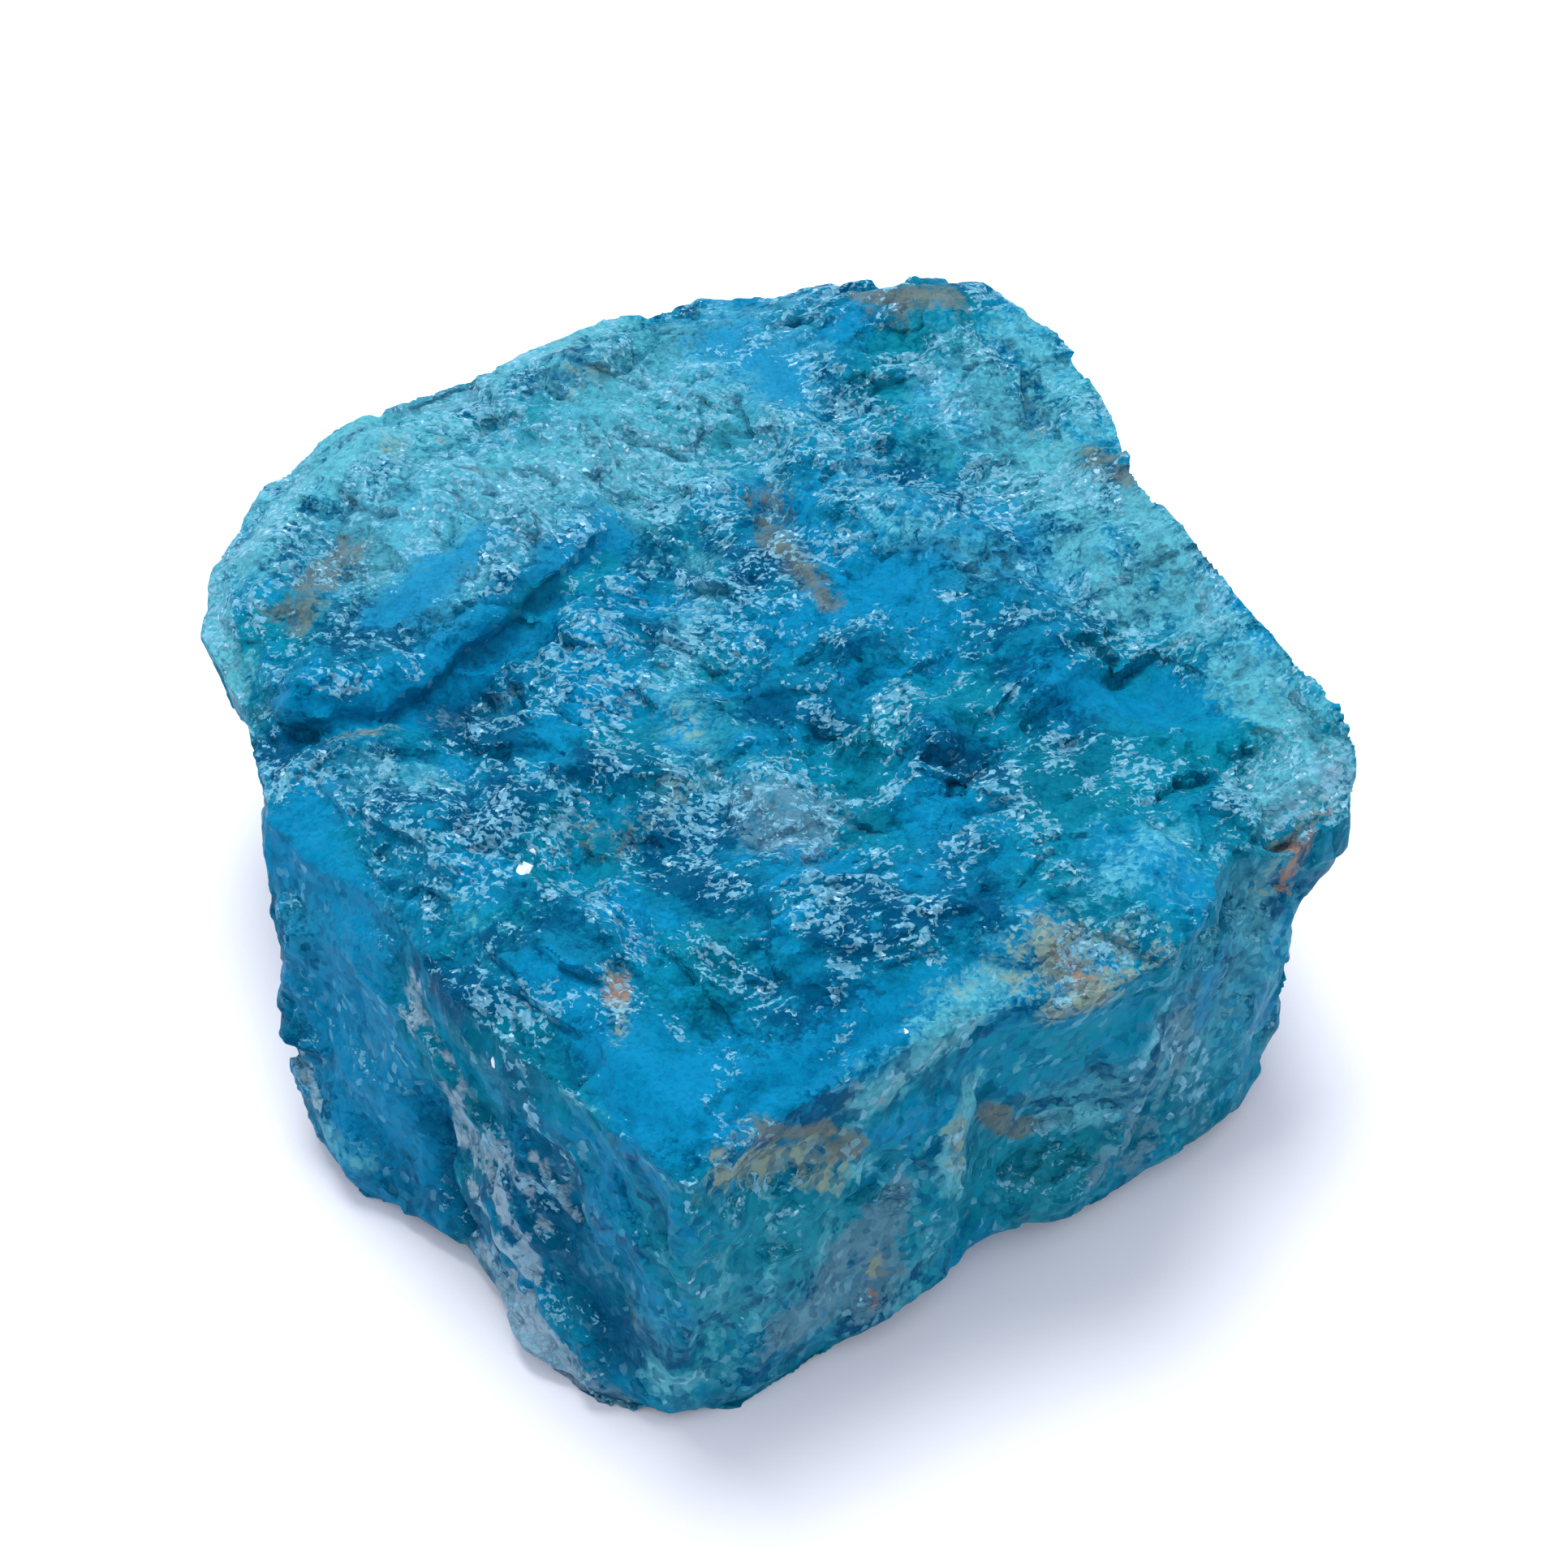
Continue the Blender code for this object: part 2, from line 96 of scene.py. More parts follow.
# Tone marks by finish: name, strength, radius, and the points that the mark runs through.
MARKS = {
    "veil": (
        ("far haze", 1.0, 4.0, (520, 640), (700, 560), (860, 470)),
        ("far right haze", 0.8, 2.6, (1180, 470), (1290, 580)),
        ("middle haze", 0.55, 2.0, (1060, 590), (1150, 660), (1290, 700)),
        ("centre haze", 0.6, 1.1, (870, 700), (830, 850), (880, 950)),
        ("knee haze", 0.6, 1.0, (1480, 1170), (1560, 1130)),
        ("nose haze", 0.4, 0.8, (930, 1560), (960, 1640)),
        ("slab haze", 0.45, 0.8, (1130, 1420), (1110, 1500)),
        ("shoulder haze", 0.6, 1.0, (430, 960), (520, 960)),
        ("right flank veil", 0.62, 4.5, (900, 1600), (1050, 1520), (1250, 1420), (1400, 1330),
         (1510, 1220)),
        ("nose veil", 0.35, 1.6, (890, 1500), (880, 1620)),
        ("knee veil", 0.45, 1.8, (1460, 1200), (1480, 1300), (1420, 1380)),
        ("right corner veil", 0.7, 1.3, (1560, 1080), (1540, 1180), (1570, 1190)),
        ("lobe veil", 0.55, 3.0, (-13.9, -7.0, 10.3), (-13.0, -9.3, 7.2), (480, 1390)),
        ("cheek grain", 0.45, 1.4, (640, 1340), (700, 1430), (740, 1520)),
    ),
    "window": (
        ("ledge wall", 1.2, 1.1, (505, 870), (590, 795), (680, 725), (745, 668)),
        ("left shelf run", 0.7, 1.0, (350, 855), (430, 875), (490, 860)),
        ("centre blade", 0.75, 1.3, (1090, 735), (1140, 700)),
        ("right slope", 0.85, 1.4, (1310, 850), (1400, 865), (1480, 880)),
        ("front pane", 0.85, 2.3, (840, 1360), (800, 1300)),
        ("front pane left", 0.8, 1.3, (720, 1250), (770, 1330)),
        ("front slope", 0.9, 1.3, (930, 1330), (1050, 1290), (1150, 1230), (1240, 1195)),
        ("left rim glow", 0.7, 1.0, (360, 1030), (400, 1080)),
        ("lobe pane", 1.0, 2.6, (440, 1230), (480, 1390)),
        ("tan flank pane", 1.0, 1.9, (1250, 1290), (1340, 1280)),
        ("foot pane", 0.9, 1.3, (1195, 1475), (7.0, -14.1, 1.6)),
        ("slab pane", 0.8, 0.8, (1060, 1410), (1110, 1400)),
        ("cheek pane", 0.7, 1.6, (700, 1380), (760, 1480), (790, 1570)),
        ("back pane", 0.8, 1.6, (900, 430), (960, 470)),
        ("right pane", 0.6, 1.7, (1240, 640), (1290, 720)),
        ("centre right pane", 0.6, 1.2, (1130, 1000), (1150, 1080)),
        ("green pane", 0.6, 0.8, (720, 1000), (780, 1010)),
        ("shelf glow", 0.8, 1.0, (480, 760), (540, 700), (600, 660)),
        ("left glow", 0.9, 1.6, (370, 1050), (420, 1100), (430, 1180)),
        ("lobe foot glow", 1.0, 0.8, (425, 1385), (415, 1415)),
        ("left shoulder glow", 1.0, 1.2, (390, 1090), (440, 1180), (470, 1250)),
        ("near right glow", 0.8, 1.6, (1380, 1050), (1440, 1080)),
        ("knee pane", 0.7, 0.9, (1480, 1250), (1500, 1200)),
    ),
    "deep": (
        # Painted shade: the two hollows and the crevice by the left lobe are darkened where shade
        # falls.
        ("left hollow floor", 1.15, 1.0, (560, 885), (630, 905)),
        ("left hollow wall", 0.45, 1.0, (560, 830), (620, 800)),
        ("left hollow arm", 0.6, 0.8, (700, 860), (760, 740)),
        ("right hollow", 0.85, 1.2, (1145, 900), (1175, 960)),
        ("right hollow tail", 0.6, 1.0, (1160, 1020), (1170, 1080)),
        ("crevice", 1.0, 0.6, (545, 1390), (560, 1460), (580, 1510)),
        ("cheek", 0.6, 1.9, (620, 1330), (660, 1430), (710, 1530), (740, 1630)),
        ("cheek top", 0.6, 1.0, (560, 1250), (640, 1230)),
        # Painted shade in the knob's crack, the far groove and at the foot of the left lobe.
        ("knob crack", 0.8, 0.3, (960, 1038), (1010, 1030)),
        ("groove", 0.8, 0.35, (737, 575), (750, 600), (770, 612)),
        ("lobe foot", 0.6, 1.2, (470, 1440), (530, 1480)),
        ("left edge", 0.6, 0.9, (350, 930), (420, 960)),
        ("centre shadow", 0.6, 0.8, (940, 790), (950, 860), (1000, 880)),
        ("cheek deep", 0.6, 1.5, (640, 1330), (700, 1450), (740, 1560), (765, 1660)),
        # Painted shade on the left lobe, in its crevice and in the far pit.
        ("lobe deep", 0.3, 1.1, (470, 1330), (520, 1400)),
        ("crevice dark", 1.2, 0.4, (545, 1400), (560, 1450)),
        ("far pit dark", 0.6, 0.9, (1120, 360), (1100, 420)),
        ("flank pane deep", 0.25, 1.2, (1260, 1300), (1330, 1290)),
        ("foot pane deep", 0.8, 0.7, (1195, 1460), (1205, 1530)),
        ("cheek foot deep", 0.8, 1.0, (700, 1540), (740, 1640)),
        ("slab shade", 0.6, 0.6, (1090, 1500), (1075, 1560)),
    ),
    "teal": (
        ("left tip", 1.0, 1.7, (290, 800), (330, 770)),
        ("back left pane", 0.9, 1.1, (665, 505)),
        ("ledge moss", 0.8, 0.6, (720, 715), (750, 700), (640, 760)),
        ("back pit", 1.0, 1.1, (1110, 430), (1080, 470)),
        ("near shoulder", 0.6, 1.2, (560, 1140), (640, 1130)),
        ("right corner", 0.8, 2.4, (1520, 960), (1590, 930), (1640, 900)),
        ("nose", 0.8, 1.4, (870, 1480), (900, 1560)),
        ("nose foot", 0.8, 1.2, (880, 1650), (830, 1690)),
        ("crust", 1.0, 1.1, (1260, 1425), (1330, 1405)),
        ("crust foot", 0.7, 1.1, (1260, 1470), (1330, 1450)),
        ("right shoulder", 0.5, 1.6, (1300, 1030), (1420, 980)),
        ("far brow", 0.6, 1.5, (830, 500), (900, 560)),
        ("right crest", 0.5, 1.2, (1180, 560), (1240, 580)),
        ("mid moss", 0.5, 1.0, (880, 880), (900, 930)),
        ("slab foot", 0.5, 1.0, (960, 1650), (1050, 1620)),
        ("flank wash", 1.0, 2.8, (900, 1530), (1050, 1500), (1250, 1450)),
        ("tan flank teal", 0.8, 1.9, (1250, 1290), (1340, 1280)),
        ("cheek moss", 0.6, 1.0, (690, 1350), (720, 1420)),
        ("nose teal", 1.2, 0.7, (905, 1500), (895, 1540)),
        ("recess shade", 0.8, 0.6, (1205, 1440), (1215, 1500)),
    ),
    "pale": (
        ("left bevel", 0.95, 1.5, (300, 690), (350, 610), (440, 548), (530, 515)),
        ("left bevel bright", 1.2, 0.9, (335, 640), (380, 590)),
        ("right rim", 0.8, 0.9, (1240, 390), (1300, 460), (1345, 540)),
        ("right rim mid", 1.0, 1.3, (1400, 620), (1450, 690), (1490, 760)),
        ("right rim near", 1.0, 1.3, (1540, 840), (1610, 890)),
        ("centre crest", 0.6, 1.0, (1060, 600), (1120, 660)),
        ("right glow", 0.55, 2.2, (1380, 1080), (1440, 1040)),
        ("left lip", 0.6, 0.8, (340, 985), (380, 960)),
        ("front rim", 0.4, 0.5, (1000, 1360), (1080, 1305), (1150, 1262), (1205, 1222)),
        # A small pale chip at the foot of the nose, painted bright as a glint.
        ("chip", 0.9, 0.6, (822, 1690)),
        ("slab crest", 0.6, 0.9, (1100, 1600), (1130, 1550)),
        ("near ridge", 0.5, 0.7, (520, 1100), (600, 1160)),
        ("far crest", 0.5, 1.6, (600, 560), (720, 560), (830, 600)),
        ("tip crest", 0.6, 0.8, (280, 750), (300, 840)),
        ("tip worn", 0.95, 1.0, (268, 700), (268, 780), (290, 850)),
        ("far bevel", 0.95, 1.4, (560, 480), (680, 430), (730, 400)),
        ("far right rim", 0.8, 1.2, (1290, 560), (1340, 650)),
        ("right rim sweep", 0.85, 1.5, (1320, 680), (1410, 750)),
        ("corner worn", 1.0, 1.4, (1590, 890), (1630, 950), (1560, 980)),
        ("sandy rim", 0.95, 0.9, (1220, 1215), (1160, 1270), (1110, 1330), (1060, 1370)),
        ("slab edge worn", 1.5, 0.45, (1195, 1330), (1188, 1400), (1175, 1460)),
        ("knee column", 0.8, 0.5, (1440, 1200), (1415, 1280), (1395, 1360), (1365, 1410)),
        ("crust glow", 1.2, 0.7, (1285, 1385), (1350, 1372)),
        ("nose streak left", 0.75, 0.35, (905, 1500), (890, 1600), (870, 1680)),
        ("nose streak middle", 0.75, 0.35, (960, 1480), (945, 1580), (925, 1660)),
        ("nose streak right", 0.75, 0.35, (1015, 1500), (1005, 1590), (985, 1650)),
        ("flake streak c", 0.8, 0.2, (689, 1341), (743, 1372), (798, 1411), (829, 1465)),
        ("tan halo", 0.6, 1.7, (1250, 1190), (1330, 1200), (1400, 1180)),
        ("left rim outer", 1.0, 1.3, (-19.4, 7.0, 10.8), (-18.4, 10.6, 11.0), (-15.6, 13.6, 12.0),
         (-12.4, 15.6, 12.0), (-9.4, 17.4, 12.0), (-6.4, 19.2, 12.0)),
        ("right rim outer", 1.0, 0.9, (9.8, 18.3, 13.4), (11.6, 15.4, 13.3), (13.0, 11.6, 13.3),
         (14.6, 8.2, 13.4), (16.0, 5.2, 13.4), (17.2, 2.6, 13.3), (18.6, 0.0, 13.3),
         (19.2, -2.0, 13.4)),
        # Painted light on the foot of the left lobe, against the shade under it.
        ("lobe foot lightened", 0.85, 0.65, (400, 1400), (440, 1425)),
        ("nose foot bright", 1.0, 0.8, (815, 1690), (830, 1705)),
        ("slab top bright", 1.0, 0.4, (1040, 1445), (1080, 1435)),
        ("near right worn", 0.6, 0.9, (1400, 1040), (1440, 1020)),
    ),
    "lilac": (
        ("knob", 0.9, 1.5, (955, 985), (985, 1010)),
        # Painted reflection: the smooth, undercut skirt under the left front shows the pale floor.
        ("skirt reflection", 1.0, 0.55, (590, 1545), (650, 1610), (710, 1680), (760, 1725)),
        ("slab face", 1.0, 1.0, (1085, 1520), (1070, 1590)),
        ("knee face", 0.25, 2.2, (1450, 1290), (1520, 1220)),
        ("knee edge", 0.8, 0.7, (1400, 1330), (1390, 1400), (1350, 1450)),
        ("lobe strip", 0.8, 0.4, (-16.1, -6.4, 6.0), (-15.9, -7.8, 4.0), (383, 1360)),
        ("hollow frost", 0.5, 1.0, (560, 890), (620, 870)),
        ("cheek oval", 0.5, 0.7, (775, 1620)),
        ("right of hollow", 0.4, 1.0, (1210, 970), (1240, 1010)),
        ("knee column grey", 0.9, 0.6, (1465, 1230), (1430, 1340), (1395, 1425)),
        ("cheek streak", 0.5, 0.45, (510, 1240), (545, 1310), (590, 1380), (640, 1440),
         (680, 1500)),
        ("lobe streak", 0.9, 0.35, (377, 1180), (372, 1240), (380, 1330)),
        ("slab lilac", 1.05, 0.85, (1100, 1470), (1050, 1530), (1015, 1595), (965, 1655)),
    ),
    "ash": (
        ("flake streak a", 0.95, 0.45, (502, 1201), (541, 1287), (564, 1372), (595, 1411),
         (650, 1450), (665, 1504)),
        ("flake streak b", 0.9, 0.4, (564, 1395), (611, 1465), (634, 1520), (650, 1566)),
        ("flake streak d", 0.8, 0.35, (642, 1442), (704, 1465), (735, 1504)),
        ("left rim ash", 1.0, 0.35, (376, 1165), (378, 1230), (376, 1290)),
        ("left rim ash low", 0.7, 0.3, (384, 1320), (392, 1370)),
        # Painted reflection of the pale floor on the skirt under the left front.
        ("skirt sheen", 1.3, 0.8, (620, 1590), (655, 1650), (700, 1700)),
        ("skirt sheen upper", 0.9, 0.35, (605, 1555), (640, 1590)),
        ("cheek ash", 0.95, 0.25, (590, 1470), (625, 1530), (660, 1570)),
        ("cheek ash b", 0.95, 0.25, (560, 1345), (590, 1400), (630, 1440)),
        ("cheek ash c", 0.8, 0.2, (640, 1390), (690, 1450), (720, 1500)),
        ("nose crumb", 0.8, 0.18, (888, 1608)),
        ("corner ash", 0.8, 0.6, (1625, 985), (1640, 960)),
        ("corner ash b", 0.4, 0.4, (1600, 1010), (1570, 985)),
        ("rim crumbs", 0.5, 0.3, (1060, 1370), (1110, 1330), (1150, 1290)),
        ("slab crumbs", 0.5, 0.25, (1170, 1370), (1165, 1440)),
        ("foot blade", 1.1, 0.32, (590, 1531), (-8.3, -16.1, 1.6), (-7.0, -17.8, 1.2),
         (-5.6, -19.2, 0.6)),
        ("foot blade upper", 1.0, 0.26, (-8.9, -14.9, 2.4), (-7.7, -16.7, 2.3), (-6.5, -18.0, 1.8),
         (-5.2, -19.3, 1.2)),
        ("edge blade", 0.9, 0.22, (560, 1300), (-9.2, -13.2, 7.6), (-8.2, -14.8, 6.4),
         (-7.2, -16.3, 4.8)),
    ),
    "umber": (
        ("left vee", 1.0, 0.45, (350, 750), (390, 715), (430, 672)),
        ("left vee arm", 0.5, 0.5, (350, 720), (400, 690)),
        ("middle vein", 1.0, 0.6, (935, 600), (955, 660), (990, 705), (1010, 740)),
        ("grey patch", 0.8, 0.8, (1345, 565), (1390, 590)),
        ("far patch", 1.0, 0.9, (1080, 365), (1150, 370)),
        ("far vein", 0.5, 0.5, (690, 470), (740, 450)),
        ("brow vein", 0.5, 0.5, (560, 580), (610, 575)),
        ("mid vein", 0.4, 0.6, (930, 640), (900, 590)),
        ("crest vein", 0.5, 0.5, (1260, 490), (1290, 540)),
        ("slab vein", 0.5, 0.4, (1130, 1480), (1110, 1560)),
        ("crust pit", 1.0, 0.4, (1245, 1400)),
        ("nose speckle", 1.1, 0.5, (930, 1400), (990, 1390), (1040, 1420)),
        ("vee stem", 0.8, 0.5, (444, 672), (400, 715), (365, 771)),
        ("vee arm", 0.8, 0.45, (365, 771), (323, 740), (345, 735)),
        ("crust brown", 1.1, 0.55, (1225, 1370), (1240, 1385), (1265, 1395)),
    ),
    "tan": (
        ("tan patch", 0.95, 1.4, (1300, 1180), (1330, 1215)),
        ("tan tail", 0.4, 0.6, (1200, 1228), (1260, 1222)),
        ("tan right", 0.6, 0.7, (1395, 1200), (1440, 1175)),
        ("nose patch", 1.0, 0.9, (900, 1450), (945, 1430)),
        ("nose patch right", 0.85, 0.8, (990, 1410), (1010, 1450)),
        ("rim patch", 0.5, 0.6, (1060, 1345), (1030, 1370)),
        ("slab end", 0.7, 0.5, (1185, 1380), (1185, 1440)),
        ("crust brow", 0.6, 0.6, (1235, 1375), (1265, 1360)),
        ("front fleck", 0.8, 0.45, (750, 1205), (765, 1240), (775, 1265)),
        ("brow fleck", 0.8, 0.4, (470, 548), (490, 545)),
        ("brow fleck b", 0.7, 0.35, (545, 552)),
        ("ledge fleck", 0.7, 0.6, (430, 905), (480, 895)),
        ("far fleck", 0.6, 0.5, (720, 455), (700, 490)),
        ("green fleck", 0.6, 0.5, (835, 880), (850, 900)),
        ("green ridge", 0.5, 0.8, (720, 1040), (800, 1000), (850, 960)),
        ("corner fleck", 0.6, 0.7, (1600, 1020), (1570, 1080)),
        ("sandy rim grains", 0.5, 0.5, (1200, 1240), (1130, 1310), (1070, 1380)),
        ("tan patch rim", 0.45, 0.7, (1240, 1195), (1190, 1240)),
        ("tan patch far", 0.6, 0.6, (1330, 1140), (1400, 1170)),
        ("slab crumb", 1.1, 0.3, (1072, 1575), (1085, 1555)),
    ),
    "rust": (
        ("tan heart", 0.8, 0.25, (1335, 1190), (1365, 1183)),
        ("corner streak", 0.9, 0.4, (1640, 985), (1610, 1040), (1580, 1090)),
        ("nose spot", 0.9, 0.22, (962, 1440)),
        ("nose line", 0.6, 0.2, (975, 1390), (920, 1425)),
        ("front heart", 1.15, 0.4, (755, 1215), (762, 1232)),
        ("slab spot", 1.1, 0.3, (1075, 1600)),
        ("rim spot", 0.6, 0.2, (1055, 1375)),
        ("tan brown", 0.85, 0.5, (9.6, -12.1, 14.4), (10.3, -12.2, 13.9)),
    ),
    "frost_sheen": (
        # Where frost lies denser. Frost is partly the pale of broken grains and partly painted
        # reflection.
        ("far stipple", 0.8, 3.2, (560, 640), (700, 570), (840, 600)),
        ("left stipple", 0.6, 2.2, (420, 760), (520, 700)),
        ("far middle stipple", 0.8, 2.6, (960, 520), (1060, 560)),
        ("shelf knob", 1.0, 1.7, (700, 790), (760, 830)),
        ("hollow stipple", 0.3, 1.0, (580, 870), (630, 890)),
        ("knob stipple", 0.7, 1.6, (940, 960), (990, 1010)),
        ("plateau stipple", 0.35, 1.9, (1030, 1120), (1160, 1110)),
        ("near stipple", 0.6, 1.3, (560, 1010), (660, 1060)),
        ("right bank stipple", 0.5, 1.1, (1230, 980), (1270, 930)),
        ("far right stipple", 0.5, 2.0, (1180, 480), (1220, 560)),
        ("ridge stipple", 0.7, 1.2, (760, 960), (860, 1010)),
        ("middle stipple", 0.4, 1.8, (860, 760), (900, 820)),
        ("cheek line stipple", 0.8, 0.6, (590, 1260), (650, 1350), (680, 1420)),
        ("fleck grains", 0.5, 0.6, (770, 1250), (790, 1290)),
        ("crust grains", 1.0, 0.8, (1290, 1390), (1350, 1375)),
        ("slab edge grains", 0.9, 0.4, (1192, 1340), (1178, 1450)),
        ("sandy rim stipple", 0.9, 0.6, (1210, 1225), (1110, 1330)),
        ("rim stipple", 0.8, 1.2, (270, 760), (420, 620), (600, 480)),
        ("nose foot grains", 1.0, 0.6, (815, 1715), (845, 1700)),
        ("corner stipple", 0.7, 1.4, (1600, 920), (1560, 1000)),
        ("flake frost a", 1.0, 0.5, (541, 1287), (564, 1372), (620, 1420)),
        ("flake frost b", 1.0, 0.4, (650, 1450), (704, 1465), (740, 1500)),
        ("flake frost c", 0.9, 0.35, (700, 1345), (743, 1372), (798, 1411)),
        ("skirt frost", 0.6, 0.7, (590, 1540), (640, 1620), (700, 1690), (750, 1735)),
        ("left rim frost", 0.7, 0.8, (355, 1130), (375, 1205), (372, 1320)),
        ("lobe speckle", 0.5, 1.6, (430, 1150), (440, 1300)),
        ("nose grain", 0.8, 1.0, (880, 1440), (930, 1420), (960, 1500)),
        ("nose edge frost", 0.9, 0.4, (860, 1480), (870, 1600)),
        ("slab frost", 0.7, 0.7, (1180, 1370), (1185, 1440), (1150, 1500)),
        ("flank edge frost", 1.0, 0.35, (1440, 1200), (1400, 1300), (1370, 1400)),
        ("sandy edge frost", 1.0, 0.35, (1230, 1210), (1150, 1275), (1100, 1330), (1040, 1380)),
        ("lip frost", 0.8, 0.8, (350, 1000), (420, 1010), (480, 1080)),
        ("knee grain", 0.9, 1.2, (1430, 1300), (1480, 1330)),
    ),
    "chip": (
        # Small bright chips, painted in the glint colour as highlights.
        ("tear chip", 0.95, 0.24, (655, 1050), (645, 1077)),
        ("white dot", 1.2, 0.22, (613, 1309)),
        ("front dot", 0.9, 0.18, (1116, 1273)),
    ),
}

# Tone marks on the far side, each point a bearing and a height.
BACK_MARKS = {
    "veil": (
        ("back veil", 0.7, 4.0, (30, 8), (60, 6), (90, 8)),
        ("left back veil", 0.65, 4.0, (120, 9), (150, 6), (175, 7)),
    ),
    "window": (
        ("back glow", 0.8, 2.0, (18, 5), (35, 4)),
        ("left back glow", 0.8, 2.0, (130, 4), (140, 3)),
    ),
    "deep": (
        ("back shadow", 0.8, 1.2, (100, 10), (103, 6)),
    ),
    "teal": (
        ("back moss", 0.8, 2.0, (75, 3), (95, 4)),
    ),
    "pale": (
        ("back worn", 0.9, 0.8, (35, 10.5), (60, 10), (80, 11)),
    ),
    "lilac": (
        ("back column", 0.9, 0.8, (50, 12), (52, 7), (50, 2)),
        ("back left column", 0.9, 0.7, (110, 11), (108, 7), (112, 2)),
    ),
    "umber": (
        ("back vein", 0.9, 0.4, (69, 10), (74, 5)),
    ),
    "tan": (
        ("back crust", 0.9, 1.3, (70, 9), (78, 7.5)),
    ),
    "rust": (
        ("back spot", 0.8, 0.25, (73, 8.5)),
    ),
    "frost_sheen": (
        # Where frost, partly the pale of broken grains and partly painted reflection, lies denser.
        ("back grains", 0.7, 1.5, (60, 10), (80, 7)),
        ("left back grains", 0.7, 1.5, (150, 8), (165, 5)),
        ("right back grains", 0.7, 1.2, (20, 10), (25, 5)),
    ),
}

# Ridges with a crisp crest, and cracks where the rise is negative: name, rise, half-width, and the
# points that the line runs through.
RIDGES = (
    ("rim ridge", 0.15, 0.5, (880, 1420), (960, 1368), (1060, 1306), (1150, 1256), (1215, 1216)),
    ("rim groove", -0.15, 0.35, (858, 1420), (930, 1360), (1040, 1290), (1140, 1232),
     (1200, 1198)),
    ("front edge", 0.35, 0.7, (836, 1460), (836, 1540), (842, 1640), (836, 1715)),
    ("pane blade", 0.25, 0.35, (785, 1385), (815, 1420), (832, 1450)),
    ("pane line", -0.22, 0.3, (905, 1330), (870, 1385), (848, 1430)),
    ("knee edge", 0.4, 0.8, (1447, 1168), (1425, 1215), (1392, 1290), (1385, 1350), (1370, 1400),
     (1350, 1460)),
    ("corner crack", -0.4, 0.35, (1530, 1038), (1590, 1045), (1640, 1002)),
    ("corner rim", 0.3, 0.6, (1450, 1160), (1500, 1100), (1530, 1045)),
    ("cheek ridge", 0.4, 0.6, (565, 1245), (610, 1330), (650, 1420), (690, 1500)),
    ("skirt ridge", 0.3, 0.6, (605, 1505), (680, 1610), (755, 1712)),
    ("lobe brow", 0.3, 0.8, (350, 1055), (430, 1078), (500, 1112), (552, 1190)),
    ("lobe crevice", -0.7, 0.8, (520, 1330), (545, 1400), (560, 1480), (582, 1525)),
    ("far groove", -0.3, 0.35, (735, 570), (750, 600), (772, 612)),
    ("knob crack", -0.28, 0.3, (955, 1040), (1010, 1030)),
    ("brown ridge", 0.25, 0.6, (900, 580), (960, 660), (1010, 740)),
    ("green ridge", 0.3, 0.7, (600, 985), (700, 960), (820, 930), (880, 1000)),
    ("left hollow crack", -0.3, 0.35, (545, 900), (600, 903), (653, 916)),
    ("hollow bank", 0.3, 0.6, (640, 880), (700, 900), (770, 880)),
    ("right pit floor", 0.9, 2.4, (6.4, -3.4, 13.8), (7.3, -6.0, 13.8)),
    ("knee column ridge", 0.3, 0.5, (1440, 1200), (1415, 1280), (1395, 1360), (1365, 1410)),
    ("sandy rim ridge", 0.12, 0.6, (1220, 1215), (1160, 1270), (1110, 1330), (1060, 1370)),
    ("skirt ridge a", 0.2, 0.25, (600, 1545), (640, 1618), (700, 1695), (750, 1732)),
    ("skirt ridge b", 0.2, 0.25, (618, 1540), (660, 1610), (720, 1685), (772, 1722)),
    ("cheek plate ridge", 0.3, 0.45, (510, 1240), (545, 1310), (590, 1380), (640, 1440),
     (680, 1500)),
    ("slab crest", 0.25, 0.25, (1055, 1475), (1120, 1465)),
    ("lobe edge", 1.15, 1.7, (384, 1120), (382, 1170), (380, 1210), (380, 1260), (378, 1300)),
    ("far left bevel", -0.5, 1.8, (455, 520), (500, 500), (560, 480), (600, 470)),
    ("corner flank ridge", 0.5, 1.8, (1600, 1090), (1572, 1140), (1565, 1200)),
)
BACK_RIDGES = (
    ("back column ridge", 0.5, 0.9, (49, 12), (51, 7), (49, 2)),
    ("back left ridge", 0.4, 0.8, (109, 11), (108, 7), (111, 2)),
    ("left back ridge", 0.4, 1.0, (155, 10), (158, 6), (152, 2)),
    ("right back ridge", 0.35, 0.8, (15, 11), (12, 6), (16, 2)),
    ("back notch left", -0.7, 0.9, (148, 13), (146, 10.5), (144, 8)),
    ("back notch middle", -0.8, 1.0, (126, 13), (122, 10.5), (120, 8.5)),
    ("back notch right", -0.6, 0.8, (104, 13), (103, 11), (101, 9)),
    ("back shoulder", 0.6, 1.2, (136, 11), (134, 9), (131, 6)),
    ("back knob", 0.6, 1.0, (115, 12), (113, 9), (114, 5)),
)

# Broken edges, where the skin drops all at once: name, drop, how far it reaches to both sides, and
# the points. Seen from outside, the raised side is on the right of the way the points run.
STEPS = (
    ("left shelf edge", 0.6, 1.2, (760, 650), (680, 722), (592, 790), (522, 850), (480, 880),
     (400, 885), (325, 872)),
    ("right shelf edge", -0.5, 1.0, (1360, 775), (1290, 850), (1230, 885), (1180, 893),
     (1146, 905), (1140, 950), (1140, 1000)),
    ("plateau edge", 0.35, 0.8, (1260, 1190), (1190, 1165), (1120, 1172), (1060, 1165),
     (1010, 1175), (965, 1195), (945, 1150), (935, 1100)),
    ("slab edge", 0.6, 0.8, (1200, 1325), (1195, 1400), (1178, 1470), (1168, 1545)),
    ("crust edge", 0.5, 0.8, (1245, 1395), (1290, 1390), (1340, 1368), (1380, 1359)),
    ("cheek plate", 0.3, 0.8, (690, 1340), (750, 1440), (790, 1540), (805, 1620)),
)
